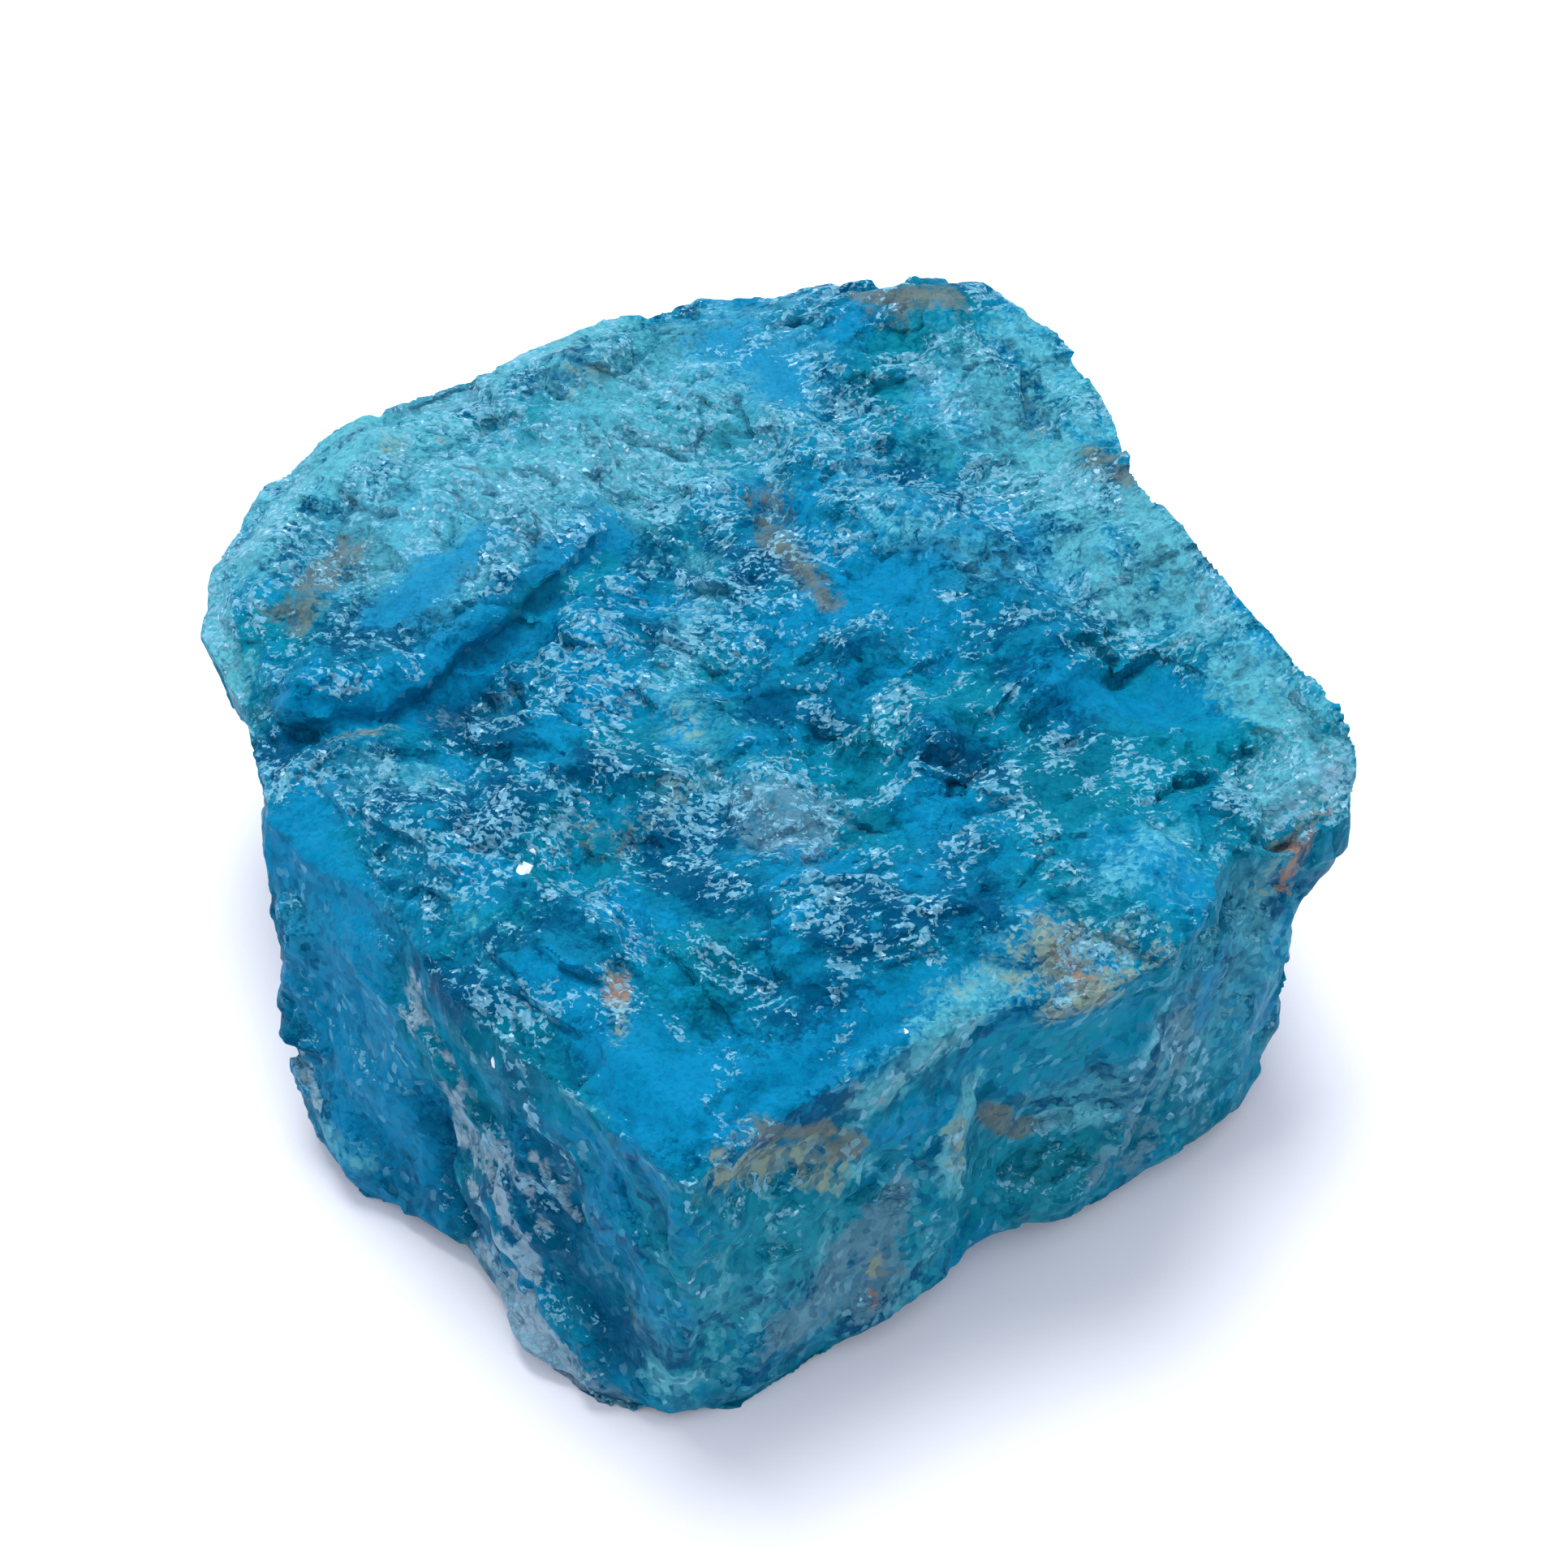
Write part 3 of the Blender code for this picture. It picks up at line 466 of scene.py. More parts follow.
BACK_STEPS = (
    ("back slab edge", 0.6, 1.0, (86, 12), (84, 7), (88, 2)),
    ("left back slab edge", 0.5, 1.0, (132, 12), (128, 7), (131, 2)),
)

# Small broken faces over the whole skin: the size of a cell, how steeply its face tilts, how far it
# steps, its stretch along the grain, and a seed.
FACETS = (
    (2.4, 0.26, 0.20, 1.3, Vector((11.0, 3.0, 7.0))),
    (1.2, 0.42, 0.11, 2.2, Vector((23.0, 17.0, 5.0))),
    (0.55, 0.50, 0.06, 2.4, Vector((41.0, 29.0, 13.0))),
)

# How strongly each layer of them shows in the tone, and how crisp the edges between them are.
FACET_TONES = (0.5, 0.9, 0.6)
FACET_BLEND = 45.0

# A share smaller than this is left out.
SMALL_SHARE = 0.01

# The upward parts of a normal between which a flank's grain gives way to the top's.
FACET_STEEP, FACET_FLAT = 0.25, 0.70

# The border between the left and the right grain: its waves' size and reach, and its half-width.
BORDER_WAVE, BORDER_REACH, BORDER_HALF = 6.0, 5.0, 2.5

# The way the grain runs on each part of the stone.
GRAINS = (
    ("left of the top", (0.79, -0.62, 0.0)),
    ("right of the top", (0.88, 0.47, 0.0)),
    ("left flank", (0.45, 0.0, -0.90)),
    ("right flank", (-0.30, 0.0, -0.95)),
)

# Scales that turn a cell's centre into the place where its tilt, its step and its tone are drawn.
TILT_SEED_SCALE = 5.3
STEP_SEED_SCALE = 3.7
TONE_SEED_SCALE = 7.9

# A broken edge's width, and the share of its drop that stands up on the raised side.
STEP_WIDTH = 0.6
RAISED_SHARE = 0.4

# The shares of a line's length between which it rises from each end. The first is a little below 0,
# so that a sliver of it is left at the very end.
END_START, END_SHARE = -0.02, 0.12

# How much smoother clear panes and worn rims are, and how much of its roughness a flank keeps.
PANE_SMOOTHING = 0.75
RIM_SMOOTHING = 0.65
FLANK_ROUGHNESS = 0.32

# The strengths of a mark between which it takes effect on the roughness.
MARK_BEGINS, MARK_FULL = 0.3, 0.7

# How high above the foot the relief is full.
FOOT_FADE = 0.8

# The upward parts of a normal between which a face stops being a flank and is top.
TOP_STEEP, TOP_FLAT = 0.2, 0.8

# How far the foot of the flanks draws in under them, and up to what height.
UNDERCUT = 0.5
UNDERCUT_HEIGHT = 1.5

# How deep the dents in the underside are, and the downward parts of a normal where they begin and
# are full.
DENTS = 0.7
UNDER_BEGINS, UNDER_FULL = 0.4, 0.9

# The new skin is eased by this share, this many times.
EASE, EASE_ROUNDS = 0.5, 4

# How strongly the facets and the slow changes show in the tone.
FACET_TONE, DRIFT_TONE = 0.5, 0.8

# The mean density of loose grains, and how far it goes up and down.
CLUMP_MEAN, CLUMP_REACH = 0.31, 0.85

# A vertex's height is measured against this many rounds of neighbours.
CREST_ROUNDS = 2

# The floor lies this far under the stone, so that the two faces don't share one plane.
FLOOR_GAP = 0.02

# Creases steeper than this, in degrees, are shaded sharp.
SHARP_ANGLE = 32.0

# Raggedness of a mark's edge: the size of the wander and how far it goes, coarse and fine.
WANDER = ((2.6, 0.6), (0.8, 0.28))
LINE_WANDER = ((1.6, 0.45), (0.5, 0.16))

# Slow changes over the stone: how far apart they are, in how many octaves, and a seed.
TONE_DRIFT = (3.0, 3, Vector((3.0, 61.0, 19.0)))
ALTERED_DRIFT = (5.5, 2, Vector((83.0, 7.0, 43.0)))
CLUMP_DRIFT = (1.8, 2, Vector((37.0, 5.0, 71.0)))
DENT_DRIFT = (3.0, 4, Vector((5.0, 47.0, 29.0)))

# Sizes of the material's patterns. Real broken grains are a few hundredths of a millimetre, too
# fine to show, so the grains and the lines of frost are drawn as coarse as they need to show.
MEDIUM = 0.9
FINE = 0.28
GRAIN = 0.11
SHARD = 0.34
CHAIN = 0.32

# The grain's own axes on the top and on the flanks: the mapping's order of steps, the axis that
# they turn about, the degrees on the left and on the right, their stretch, and how far noise bends
# them.
GRAIN_FRAMES = (
    ("POINT", (0.0, 0.0, -1.0), (-38.0, 28.0), (0.8, 1.0, 1.0), 0.25),
    ("TEXTURE", (0.0, 1.0, 0.0), (-26.6, 17.5), (2.2, 2.2, 3.2), 0.05),
)

# The strengths at which a finish begins and is full, and how much of the colour below it hides.
FINISHES = (
    ("veil", 0.2, 0.85, 0.68),
    ("window", 0.25, 0.7, 0.85),
    ("deep", 0.3, 0.75, 0.85),
    ("teal", 0.25, 0.75, 0.75),
    ("pale", 0.3, 0.85, 0.85),
    ("lilac", 0.3, 0.7, 0.75),
    ("ash", 0.35, 0.7, 0.85),
    ("tan", 0.32, 0.75, 0.82),
    ("umber", 0.3, 0.75, 0.75),
    ("rust", 0.4, 0.7, 0.75),
)

# How much more frost a millimetre of height over the neighbouring skin brings, painted as a
# highlight on the raised crests.
CREST_HIGHLIGHT = 2.5

# Settings that nodes share: a soft change between two values, and a mix of colours.
SOFT = {"interpolation_type": "SMOOTHSTEP"}
COLOURS = {"data_type": "RGBA"}

# The stage in metres: half the floor's side, and the lamp's width and place.
FLOOR_HALF = 1.2
LAMP_WIDTH = 0.24
LAMP_PLACE = Vector((-0.045, 0.165, 0.43))
SKY_COLOUR = "F0F1FB"


def colour(code):
    """Linear RGB of an sRGB hex colour."""
    parts = [int(code[i:i + 2], 16) / 255.0 for i in (0, 2, 4)]
    return tuple(p / 12.92 if p <= 0.04045 else ((p + 0.055) / 1.055) ** 2.4 for p in parts)


def colour_setting(name, description, code):
    return bpy.props.FloatVectorProperty(
        name=name, description=description, subtype="COLOR", size=3, min=0.0, max=1.0,
        default=colour(code))


class ApatiteStoneSettings(bpy.types.PropertyGroup):
    grain: bpy.props.FloatProperty(
        name="Grain", description="Spacing of the skin's mesh before it is thinned",
        default=0.15 * MM, min=0.1 * MM, max=1.0 * MM, precision=5, unit="LENGTH")
    most_triangles: bpy.props.IntProperty(
        name="Most triangles", description="The skin is thinned to this many triangles",
        default=190000, min=10000, max=199000)
    relief: bpy.props.FloatProperty(
        name="Relief", description="Share of the full height of the broken facets",
        default=1.0, min=0.0, max=2.0, subtype="FACTOR")
    facet_seed: bpy.props.IntProperty(
        name="Facet seed", description="Chooses one set of tilts and wanders out of many",
        default=1, min=1)
    body: colour_setting("Body", "Blue of the stone's body", "056989")
    # The deep blue is also painted as shade into hollows, cracks, crevices and pits.
    deep: colour_setting("Deep", "Dark blue of hollows and steep faces", "00476A")
    window: colour_setting("Pane", "Bright azure of clear panes", "05759F")
    teal: colour_setting("Teal", "Greenish blue of altered places", "05798A")
    # The pale cyan is also painted as light on the foot of the left lobe.
    pale: colour_setting("Pale", "Weathered cyan of the rims", "54A5B3")
    # On the skirt under the left front, the grey-lilac is a painted reflection of the pale floor.
    lilac: colour_setting("Lilac", "Grey-lilac of worn faces", "587D8D")
    umber: colour_setting("Umber", "Grey-brown veins", "62685C")
    tan: colour_setting("Tan", "Sandy crust", "7F8F7C")
    # On that skirt the ash grey is a painted reflection of the pale floor too.
    ash: colour_setting("Ash", "Pale grey splinters", "8AA6B4")
    rust: colour_setting("Rust", "Iron stain", "8C6A55")
    # Partly the pale of broken grains, partly a painted reflection of the light on their faces.
    frost_sheen: colour_setting("Frost", "Broken grains that scatter the light", "72ACC2")
    glint: colour_setting("Glint", "Single grains turned to the light", "DCE8F2")


class ApatiteStageSettings(bpy.types.PropertyGroup):
    floor: colour_setting("Floor", "Colour of the floor", "E6E8EE")
    sky: bpy.props.FloatProperty(
        name="Sky", description="Strength of the even light all round", default=1.10, min=0.0,
        max=5.0)
    key: bpy.props.FloatProperty(
        name="Key light", description="Power of the large soft light in watts", default=1.9,
        min=0.0, subtype="POWER")
    view_angle: bpy.props.FloatProperty(
        name="View angle", description="The camera's angle of view", default=VIEW_ANGLE,
        min=0.05, max=2.0, subtype="ANGLE")
    view_tilt: bpy.props.FloatProperty(
        name="View tilt", description="The camera's height above the horizon",
        default=VIEW_TILT, min=0.0, max=1.5, subtype="ANGLE")
    view_distance: bpy.props.FloatProperty(
        name="View distance", description="From the camera to the point it looks at",
        default=VIEW_DISTANCE, min=0.01, max=2.0, unit="LENGTH")


def new_object(name, bm):
    mesh = bpy.data.meshes.new(name)
    bm.to_mesh(mesh)
    bm.free()
    obj = bpy.data.objects.new(name, mesh)
    bpy.context.scene.collection.objects.link(obj)
    return obj


def apply_modifiers(obj):
    """Leaves the object with the mesh that its modifiers make."""
    graph = bpy.context.evaluated_depsgraph_get()
    made = bpy.data.meshes.new_from_object(obj.evaluated_get(graph))
    made.name = obj.name
    obj.modifiers.clear()
    old, obj.data = obj.data, made
    bpy.data.meshes.remove(old)


def places_of(mesh):
    """The vertices' places in millimetres."""
    flat = np.empty(len(mesh.vertices) * 3, np.float32)
    mesh.vertices.foreach_get("co", flat)
    return flat.reshape(-1, 3).astype(np.float64) * PER_MM


def normals_of(mesh):
    """The vertices' normals."""
    flat = np.empty(len(mesh.vertices) * 3, np.float32)
    mesh.vertex_normals.foreach_get("vector", flat)
    return flat.reshape(-1, 3).astype(np.float64)


def set_places(mesh, places):
    mesh.vertices.foreach_set("co", (places * MM).astype(np.float32).ravel())
    mesh.update()


def smoothstep(values, low, high):
    """0 up to the low value, 1 from the high one, and a soft change between them."""
    share = np.clip((values - low) / (high - low), 0.0, 1.0)
    return share * share * (3.0 - 2.0 * share)


def wandered(places, wander):
    """The places moved about by noise, so that an edge laid on them is ragged."""
    moved = places.copy()
    for size, reach in wander:
        moved += reach * np.array([noise.noise_vector(Vector(p) / size) for p in places])
    return moved


def nearest_on(places, points):
    """For each place the way to it from the nearest point of a line, the line's direction there,
    how far along the line that is, from 0 to 1, and how far away it is."""
    points = np.array(points)
    away = places - points[0]
    heading = np.zeros_like(places)
    along = np.zeros(len(places))
    nearest = np.linalg.norm(away, axis=1)
    for index, (start, end) in enumerate(zip(points, points[1:])):
        run = end - start
        share = np.clip((places - start) @ run / (run @ run), 0.0, 1.0)
        to_place = places - start - share[:, None] * run
        closer = np.linalg.norm(to_place, axis=1) < nearest - TINY
        closer |= (index == 0)
        away[closer], heading[closer] = to_place[closer], run / np.linalg.norm(run)
        along[closer] = (index + share[closer]) / (len(points) - 1)
        nearest = np.linalg.norm(away, axis=1)
    return away, heading, along, nearest


def place_seen(skin, start, way):
    """The place in millimetres where a line of sight meets the plain solid."""
    place = skin.ray_cast(start, way)[0]
    return tuple(round(part * PER_MM, PLACE_DECIMALS) for part in place)


def place_in_view(skin, across, down):
    """The place that the front view shows at a pixel."""
    back = Vector((0.0, -math.cos(VIEW_TILT), math.sin(VIEW_TILT)))
    up = Vector((0.0, math.sin(VIEW_TILT), math.cos(VIEW_TILT)))
    half = VIEW_WIDTH / 2.0
    way = Vector((across - half, 0.0, 0.0)) + up * (half - down)
    way -= back * (half / math.tan(VIEW_ANGLE / 2.0))
    return place_seen(skin, LOOK_AT + back * VIEW_DISTANCE, way)


def place_around(skin, bearing, height):
    """The place on the flank at a bearing and a height."""
    turn = math.radians(bearing)
    out = Vector((math.cos(turn), math.sin(turn), 0.0))
    return place_seen(skin, out * AROUND_DISTANCE + Vector((0.0, 0.0, height * MM)), -out)


def placed(front_rows, back_rows, skin):
    """The rows of a table and of its far side, with every point turned into a place."""
    return [(*row[:3], *(point if len(point) == 3 else find(skin, *point) for point in row[3:]))
            for rows, find in ((front_rows, place_in_view), (back_rows, place_around))
            for row in rows]


def mark_reach(places, marks):
    """For each place its mark's strength, which falls to half at the mark's radius."""
    best = np.zeros(len(places))
    for _, strength, radius, *points in marks:
        nearest = nearest_on(places, points)[3]
        best = np.maximum(best, strength * np.clip(1.0 - nearest / (2.0 * radius), 0.0, 1.0))
    return best


def line_rise(places, normals, ridges, steps):
    """The rise of all ridges, cracks and broken edges."""
    total = np.zeros(len(places))
    for _, rise, half_width, *points in ridges:
        _, _, along, nearest = nearest_on(places, points)
        ends = smoothstep(np.minimum(along, 1.0 - along), END_START, END_SHARE)
        total += rise * np.clip(1.0 - nearest / half_width, 0.0, 1.0) * ends
    for _, drop, reach, *points in steps:
        away, heading, along, nearest = nearest_on(places, points)
        side = (away * np.cross(heading, normals)).sum(axis=1)
        raised = smoothstep(side, -STEP_WIDTH / 2.0, STEP_WIDTH / 2.0) - 1.0 + RAISED_SHARE
        ends = smoothstep(np.minimum(along, 1.0 - along), END_START, END_SHARE)
        total += drop * raised * np.exp(-nearest / reach) * ends
    return total


def right_share(places):
    """0 on the left of the stone, where the grain runs one way, and 1 on the right."""
    wave = np.array([noise.noise(Vector(p) / BORDER_WAVE) for p in places])
    return smoothstep(places[:, 0] + BORDER_REACH * wave, -BORDER_HALF, BORDER_HALF)


def broken_faces(places, grain, layer):
    """The rise and the tone of one layer of facets: near a cell's centre the skin follows that
    cell's own tilt, and the whole cell has one tone."""
    size, tilt, step, stretch, seed = layer
    to_grain = Vector(grain).to_track_quat("X", "Z").to_matrix().transposed()
    squeeze = Vector((1.0 / stretch, 1.0, 1.0)) / size
    rises, tones = np.empty(len(places)), np.empty(len(places))
    cells = {}
    for index, place in enumerate(places):
        spot = to_grain @ Vector(place) * squeeze + seed
        distances, centres = noise.voronoi(spot)
        nearest = max(distances[0], TINY)
        total = tone = weights = 0.0
        for distance, centre in zip(distances, centres):
            weight = (nearest / max(distance, TINY)) ** FACET_BLEND
            if weight < SMALL_SHARE:
                break
            key = centre[:]
            if key not in cells:
                cells[key] = (noise.noise_vector(centre * TILT_SEED_SCALE) * tilt,
                              noise.noise(centre * STEP_SEED_SCALE + seed) * step,
                              noise.noise(centre * TONE_SEED_SCALE - seed))
            lean, lift, own_tone = cells[key]
            total += weight * ((spot - centre).dot(lean) * size + lift)
            tone += weight * own_tone
            weights += weight
        rises[index], tones[index] = total / weights, tone / weights
    return np.array((rises, tones))


def facet_rise(places, normals, roughness):
    """The rise and the tone of all layers of facets, drawn out along the grain of each part."""
    right = right_share(places)
    flat = smoothstep(normals[:, 2], FACET_STEEP, FACET_FLAT)
    left, steep = 1.0 - right, 1.0 - flat
    shares = (flat * left, flat * right, steep * left, steep * right)
    rise, tone = np.zeros(len(places)), np.zeros(len(places))
    for layer, tone_share in zip(FACETS, FACET_TONES):
        both = np.zeros((2, len(places)))
        for (_, grain), share in zip(GRAINS, shares):
            here = share > SMALL_SHARE
            both[:, here] += share[here] * broken_faces(places[here], grain, layer)
        rise += both[0] * (0.5 + 0.5 * roughness if layer is FACETS[0] else roughness)
        tone += both[1] * tone_share
    return rise, tone


def add_attribute(mesh, name, values):
    """Lays one number for each vertex on the mesh, for the material to read."""
    layer = mesh.attributes.new(name, "FLOAT", "POINT")
    layer.data.foreach_set("value", values.astype(np.float32))


def attribute_of(mesh, name):
    values = np.empty(len(mesh.vertices), np.float32)
    mesh.attributes[name].data.foreach_get("value", values)
    return values.astype(np.float64)


def drift(places, size, octaves, seed):
    """Slow noise over the stone, about -0.5 to 0.5."""
    return np.array([noise.fractal(Vector(p) / size + seed, 1.0, 2.0, octaves) for p in places])


def crest_of(mesh, places, normals, rounds):
    """How far each vertex stands above the mean of its neighbours, out to some rounds of them."""
    edges = np.empty(len(mesh.edges) * 2, np.int32)
    mesh.edges.foreach_get("vertices", edges)
    a, b = edges.reshape(-1, 2).T
    count = np.bincount(a, minlength=len(places)) + np.bincount(b, minlength=len(places))
    mean = places.copy()
    for _ in range(rounds):
        total = np.zeros_like(mean)
        for axis in range(3):
            total[:, axis] = (np.bincount(a, mean[b, axis], len(places))
                              + np.bincount(b, mean[a, axis], len(places)))
        mean = (mean + total) / (1.0 + count)[:, None]
    return ((places - mean) * normals).sum(axis=1)


def make_stone(settings):
    """The stone's skin: the plain solid remeshed, broken into facets, lines and dents, and thinned,
    with everything that the material reads laid on it as attributes."""
    noise.seed_set(settings.facet_seed)
    bm = bmesh.new()
    bm.from_mesh(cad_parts["stone"].data)
    bmesh.ops.remove_doubles(bm, verts=bm.verts, dist=TINY)
    skin = BVHTree.FromBMesh(bm)
    marks = {finish: placed(rows, BACK_MARKS.get(finish, ()), skin)
             for finish, rows in MARKS.items()}
    ridges = placed(RIDGES, BACK_RIDGES, skin)
    steps = placed(STEPS, BACK_STEPS, skin)
    stone = new_object("apatite", bm)
    remesh = stone.modifiers.new("skin", "REMESH")
    remesh.mode = "VOXEL"
    remesh.voxel_size = settings.grain
    smoothing = stone.modifiers.new("ease", "SMOOTH")
    smoothing.factor = EASE
    smoothing.iterations = EASE_ROUNDS
    apply_modifiers(stone)
    mesh = stone.data
    places, normals = places_of(mesh), normals_of(mesh)
    panes = mark_reach(wandered(places, WANDER), marks["window"])
    worn = mark_reach(wandered(places, WANDER), marks["pale"])
    top = smoothstep(normals[:, 2], TOP_STEEP, TOP_FLAT)
    roughness = ((1.0 - PANE_SMOOTHING * smoothstep(panes, MARK_BEGINS, MARK_FULL))
                 * (1.0 - RIM_SMOOTHING * smoothstep(worn, MARK_BEGINS, MARK_FULL))
                 * (FLANK_ROUGHNESS + (1.0 - FLANK_ROUGHNESS) * top))
    rise, tone = facet_rise(places, normals, roughness)
    rise *= settings.relief
    rise += line_rise(wandered(places, LINE_WANDER), normals, ridges, steps) * settings.relief
    rise *= smoothstep(places[:, 2], 0.0, FOOT_FADE)
    places += normals * rise[:, None]
    draw_in = UNDERCUT * (1.0 - np.clip(places[:, 2] / UNDERCUT_HEIGHT, 0.0, 1.0)) ** 2
    places[:, :2] -= draw_in[:, None] * normals[:, :2]
    under = smoothstep(-normals[:, 2], UNDER_BEGINS, UNDER_FULL)
    places[:, 2] += DENTS * under * np.maximum(0.0, drift(places, *DENT_DRIFT))
    low, high = (np.array(corner) * PER_MM for corner in CAD_BOX)
    places[:, 2] = np.clip(places[:, 2], low[2], high[2])
    set_places(mesh, places)
    add_attribute(mesh, "tone", tone * FACET_TONE)
    thin = stone.modifiers.new("thin", "DECIMATE")
    triangles = sum(len(face.vertices) - 2 for face in mesh.polygons)
    thin.ratio = min(1.0, settings.most_triangles / triangles)
    apply_modifiers(stone)
    mesh = stone.data
    places, normals = places_of(mesh), normals_of(mesh)
    ragged = wandered(places, WANDER)
    for finish, rows in marks.items():
        add_attribute(mesh, finish, mark_reach(places if finish == "chip" else ragged, rows))
    add_attribute(mesh, "crest", crest_of(mesh, places, normals, CREST_ROUNDS))
    add_attribute(mesh, "right", right_share(places))
    add_attribute(mesh, "top", smoothstep(normals[:, 2], TOP_STEEP, TOP_FLAT))
    add_attribute(mesh, "altered", drift(places, *ALTERED_DRIFT))
    add_attribute(mesh, "clump", CLUMP_MEAN + CLUMP_REACH * drift(places, *CLUMP_DRIFT))
    tones = attribute_of(mesh, "tone") + DRIFT_TONE * drift(places, *TONE_DRIFT)
    mesh.attributes["tone"].data.foreach_set("value", tones.astype(np.float32))
    mesh.shade_smooth()
    mesh.set_sharp_from_angle(angle=math.radians(SHARP_ANGLE))
    return stone


def add_node(tree, kind, inputs=None, **settings):
    """Adds a node with its settings and gives its outputs. Each input takes a value or another
    node's output, to which it is linked.

    Inputs go by name or number. Of a map range, 1 and 2 are the values it starts from and 3 and 4
    the ones it ends at. Of a mix, 0 is the share, 4 and 5 are the vectors and 6 and 7 the colours.
    """
    node = tree.nodes.new(kind)
    for name, value in settings.items():
        setattr(node, name, value)
    for socket, source in (inputs or {}).items():
        if isinstance(source, bpy.types.NodeSocket):
            tree.links.new(source, node.inputs[socket])
        else:
            node.inputs[socket].default_value = source
    return node.outputs


def apatite_material(settings):
    """Raw apatite, a translucent phosphate mineral with a broken, granular surface.

    The body is saturated blue with light scattering a little way in. Broken grains over it scatter
    the light and look like frost, which is partly a painted reflection of the light on their
    faces, and weathering leaves cyan rims, sandy crust and iron stains. Shade is painted into
    hollows, cracks and pits and beside the frost lines, and highlights onto raised crests, lit
    crumbs and glints.
    """
    material = bpy.data.materials.new("raw apatite")
    material.use_nodes = True
    tree = material.node_tree
    shader = tree.nodes["Principled BSDF"]
    add = functools.partial(add_node, tree)
    mark = {name: add("ShaderNodeAttribute", attribute_name=name)["Fac"]
            for name in (*MARKS, "tone", "altered", "clump", "crest", "right", "top")}
    paint = {name: (*getattr(settings, name), 1.0)
             for name in ("body", "deep", "window", "teal", "pale", "lilac", "ash", "umber", "tan",
                          "rust", "frost_sheen", "glint")}

    # The places in millimetres, and two noises that make every edge ragged.
    mm = add("ShaderNodeVectorMath", {0: add("ShaderNodeTexCoord")["Object"], 1: (PER_MM,) * 3},
             operation="MULTIPLY")[0]
    medium = add("ShaderNodeTexNoise", {"Vector": mm, "Scale": 1.0 / MEDIUM, "Detail": 2.0,
                                        "Roughness": 0.6})[0]
    fine, wander, *_ = add("ShaderNodeTexNoise", {"Vector": mm, "Scale": 1.0 / FINE, "Detail": 1.0})

    # Places along the grain: lying on the top, standing and coarser on the flanks.
    to_right = add("ShaderNodeMath", {0: mark["right"], 1: medium}, operation="ADD")[0]
    to_right = add("ShaderNodeMath", {0: to_right, 1: 1.0}, operation="GREATER_THAN")[0]
    flank = add("ShaderNodeMapRange", {0: mark["top"], 1: 0.1, 2: 0.7, 3: 1.0, 4: 0.0}, **SOFT)[0]
    steep = add("ShaderNodeMath", {0: medium, 1: 0.5, 2: flank}, operation="MULTIPLY_ADD")[0]
    steep = add("ShaderNodeMath", {0: steep, 1: 0.8}, operation="GREATER_THAN")[0]
    ways = []
    for order, axis, turns, stretch, reach in GRAIN_FRAMES:
        left, right = (
            add("ShaderNodeMapping", {"Vector": mm, "Scale": stretch,
                                      "Rotation": Vector(axis) * math.radians(turn)},
                vector_type=order)[0] for turn in turns)
        way = add("ShaderNodeMix", {0: to_right, 4: left, 5: right}, data_type="VECTOR")[1]
        ways.append(add("ShaderNodeVectorMath", {0: wander, 1: (reach,) * 3, 2: way},
                        operation="MULTIPLY_ADD")[0])
    bent = add("ShaderNodeMix", {0: steep, 4: ways[0], 5: ways[1]}, data_type="VECTOR")[1]

    # Single grains, the small shining faces of broken shards, and winding lines of frost that are
    # partly a painted reflection of the light.
    grain = add("ShaderNodeTexVoronoi", {"Vector": bent, "Scale": 1.0 / GRAIN})
    crumb, shade, spark = add("ShaderNodeSeparateColor", {0: grain["Color"]})
    shard = add("ShaderNodeTexVoronoi", {"Vector": bent, "Scale": 1.0 / SHARD})
    flake = add("ShaderNodeMath", {0: add("ShaderNodeSeparateColor", {0: shard["Color"]})[2],
                                   1: 0.5}, operation="SUBTRACT")[0]
    jagged = add("ShaderNodeMix", {0: 0.55, 4: bent, 5: grain["Position"]}, data_type="VECTOR")[1]
    jagged = add("ShaderNodeVectorMath", {0: jagged, 1: (0.5, 1.0, 1.0)}, operation="MULTIPLY")[0]
    chain = add("ShaderNodeTexNoise", {"Vector": jagged, "Scale": 1.0 / CHAIN, "Detail": 1.0,
                                       "Roughness": 0.5, "Distortion": 0.5})[0]
    chain = add("ShaderNodeMath", {0: chain, 1: 0.5}, operation="SUBTRACT")[0]
    chain = add("ShaderNodeMath", {0: chain}, operation="ABSOLUTE")[0]

    # What makes an edge ragged. Three of its sources run from 0 to 1, so half of them comes off.
    ragged = -0.71
    for source, share in ((medium, 0.7), (fine, 0.4), (crumb, 0.32), (flake, 0.22)):
        ragged = add("ShaderNodeMath", {0: source, 1: share, 2: ragged},
                     operation="MULTIPLY_ADD")[0]
    lively = add("ShaderNodeMapRange", {0: flank, 3: 0.12, 4: 0.40}, **SOFT)[0]
    tone, altered = mark["tone"], mark["altered"]
    for source, share in ((ragged, 0.6), (flake, lively)):
        tone = add("ShaderNodeMath", {0: source, 1: share, 2: tone}, operation="MULTIPLY_ADD")[0]
    altered = add("ShaderNodeMath", {0: ragged, 1: 0.4, 2: altered}, operation="MULTIPLY_ADD")[0]

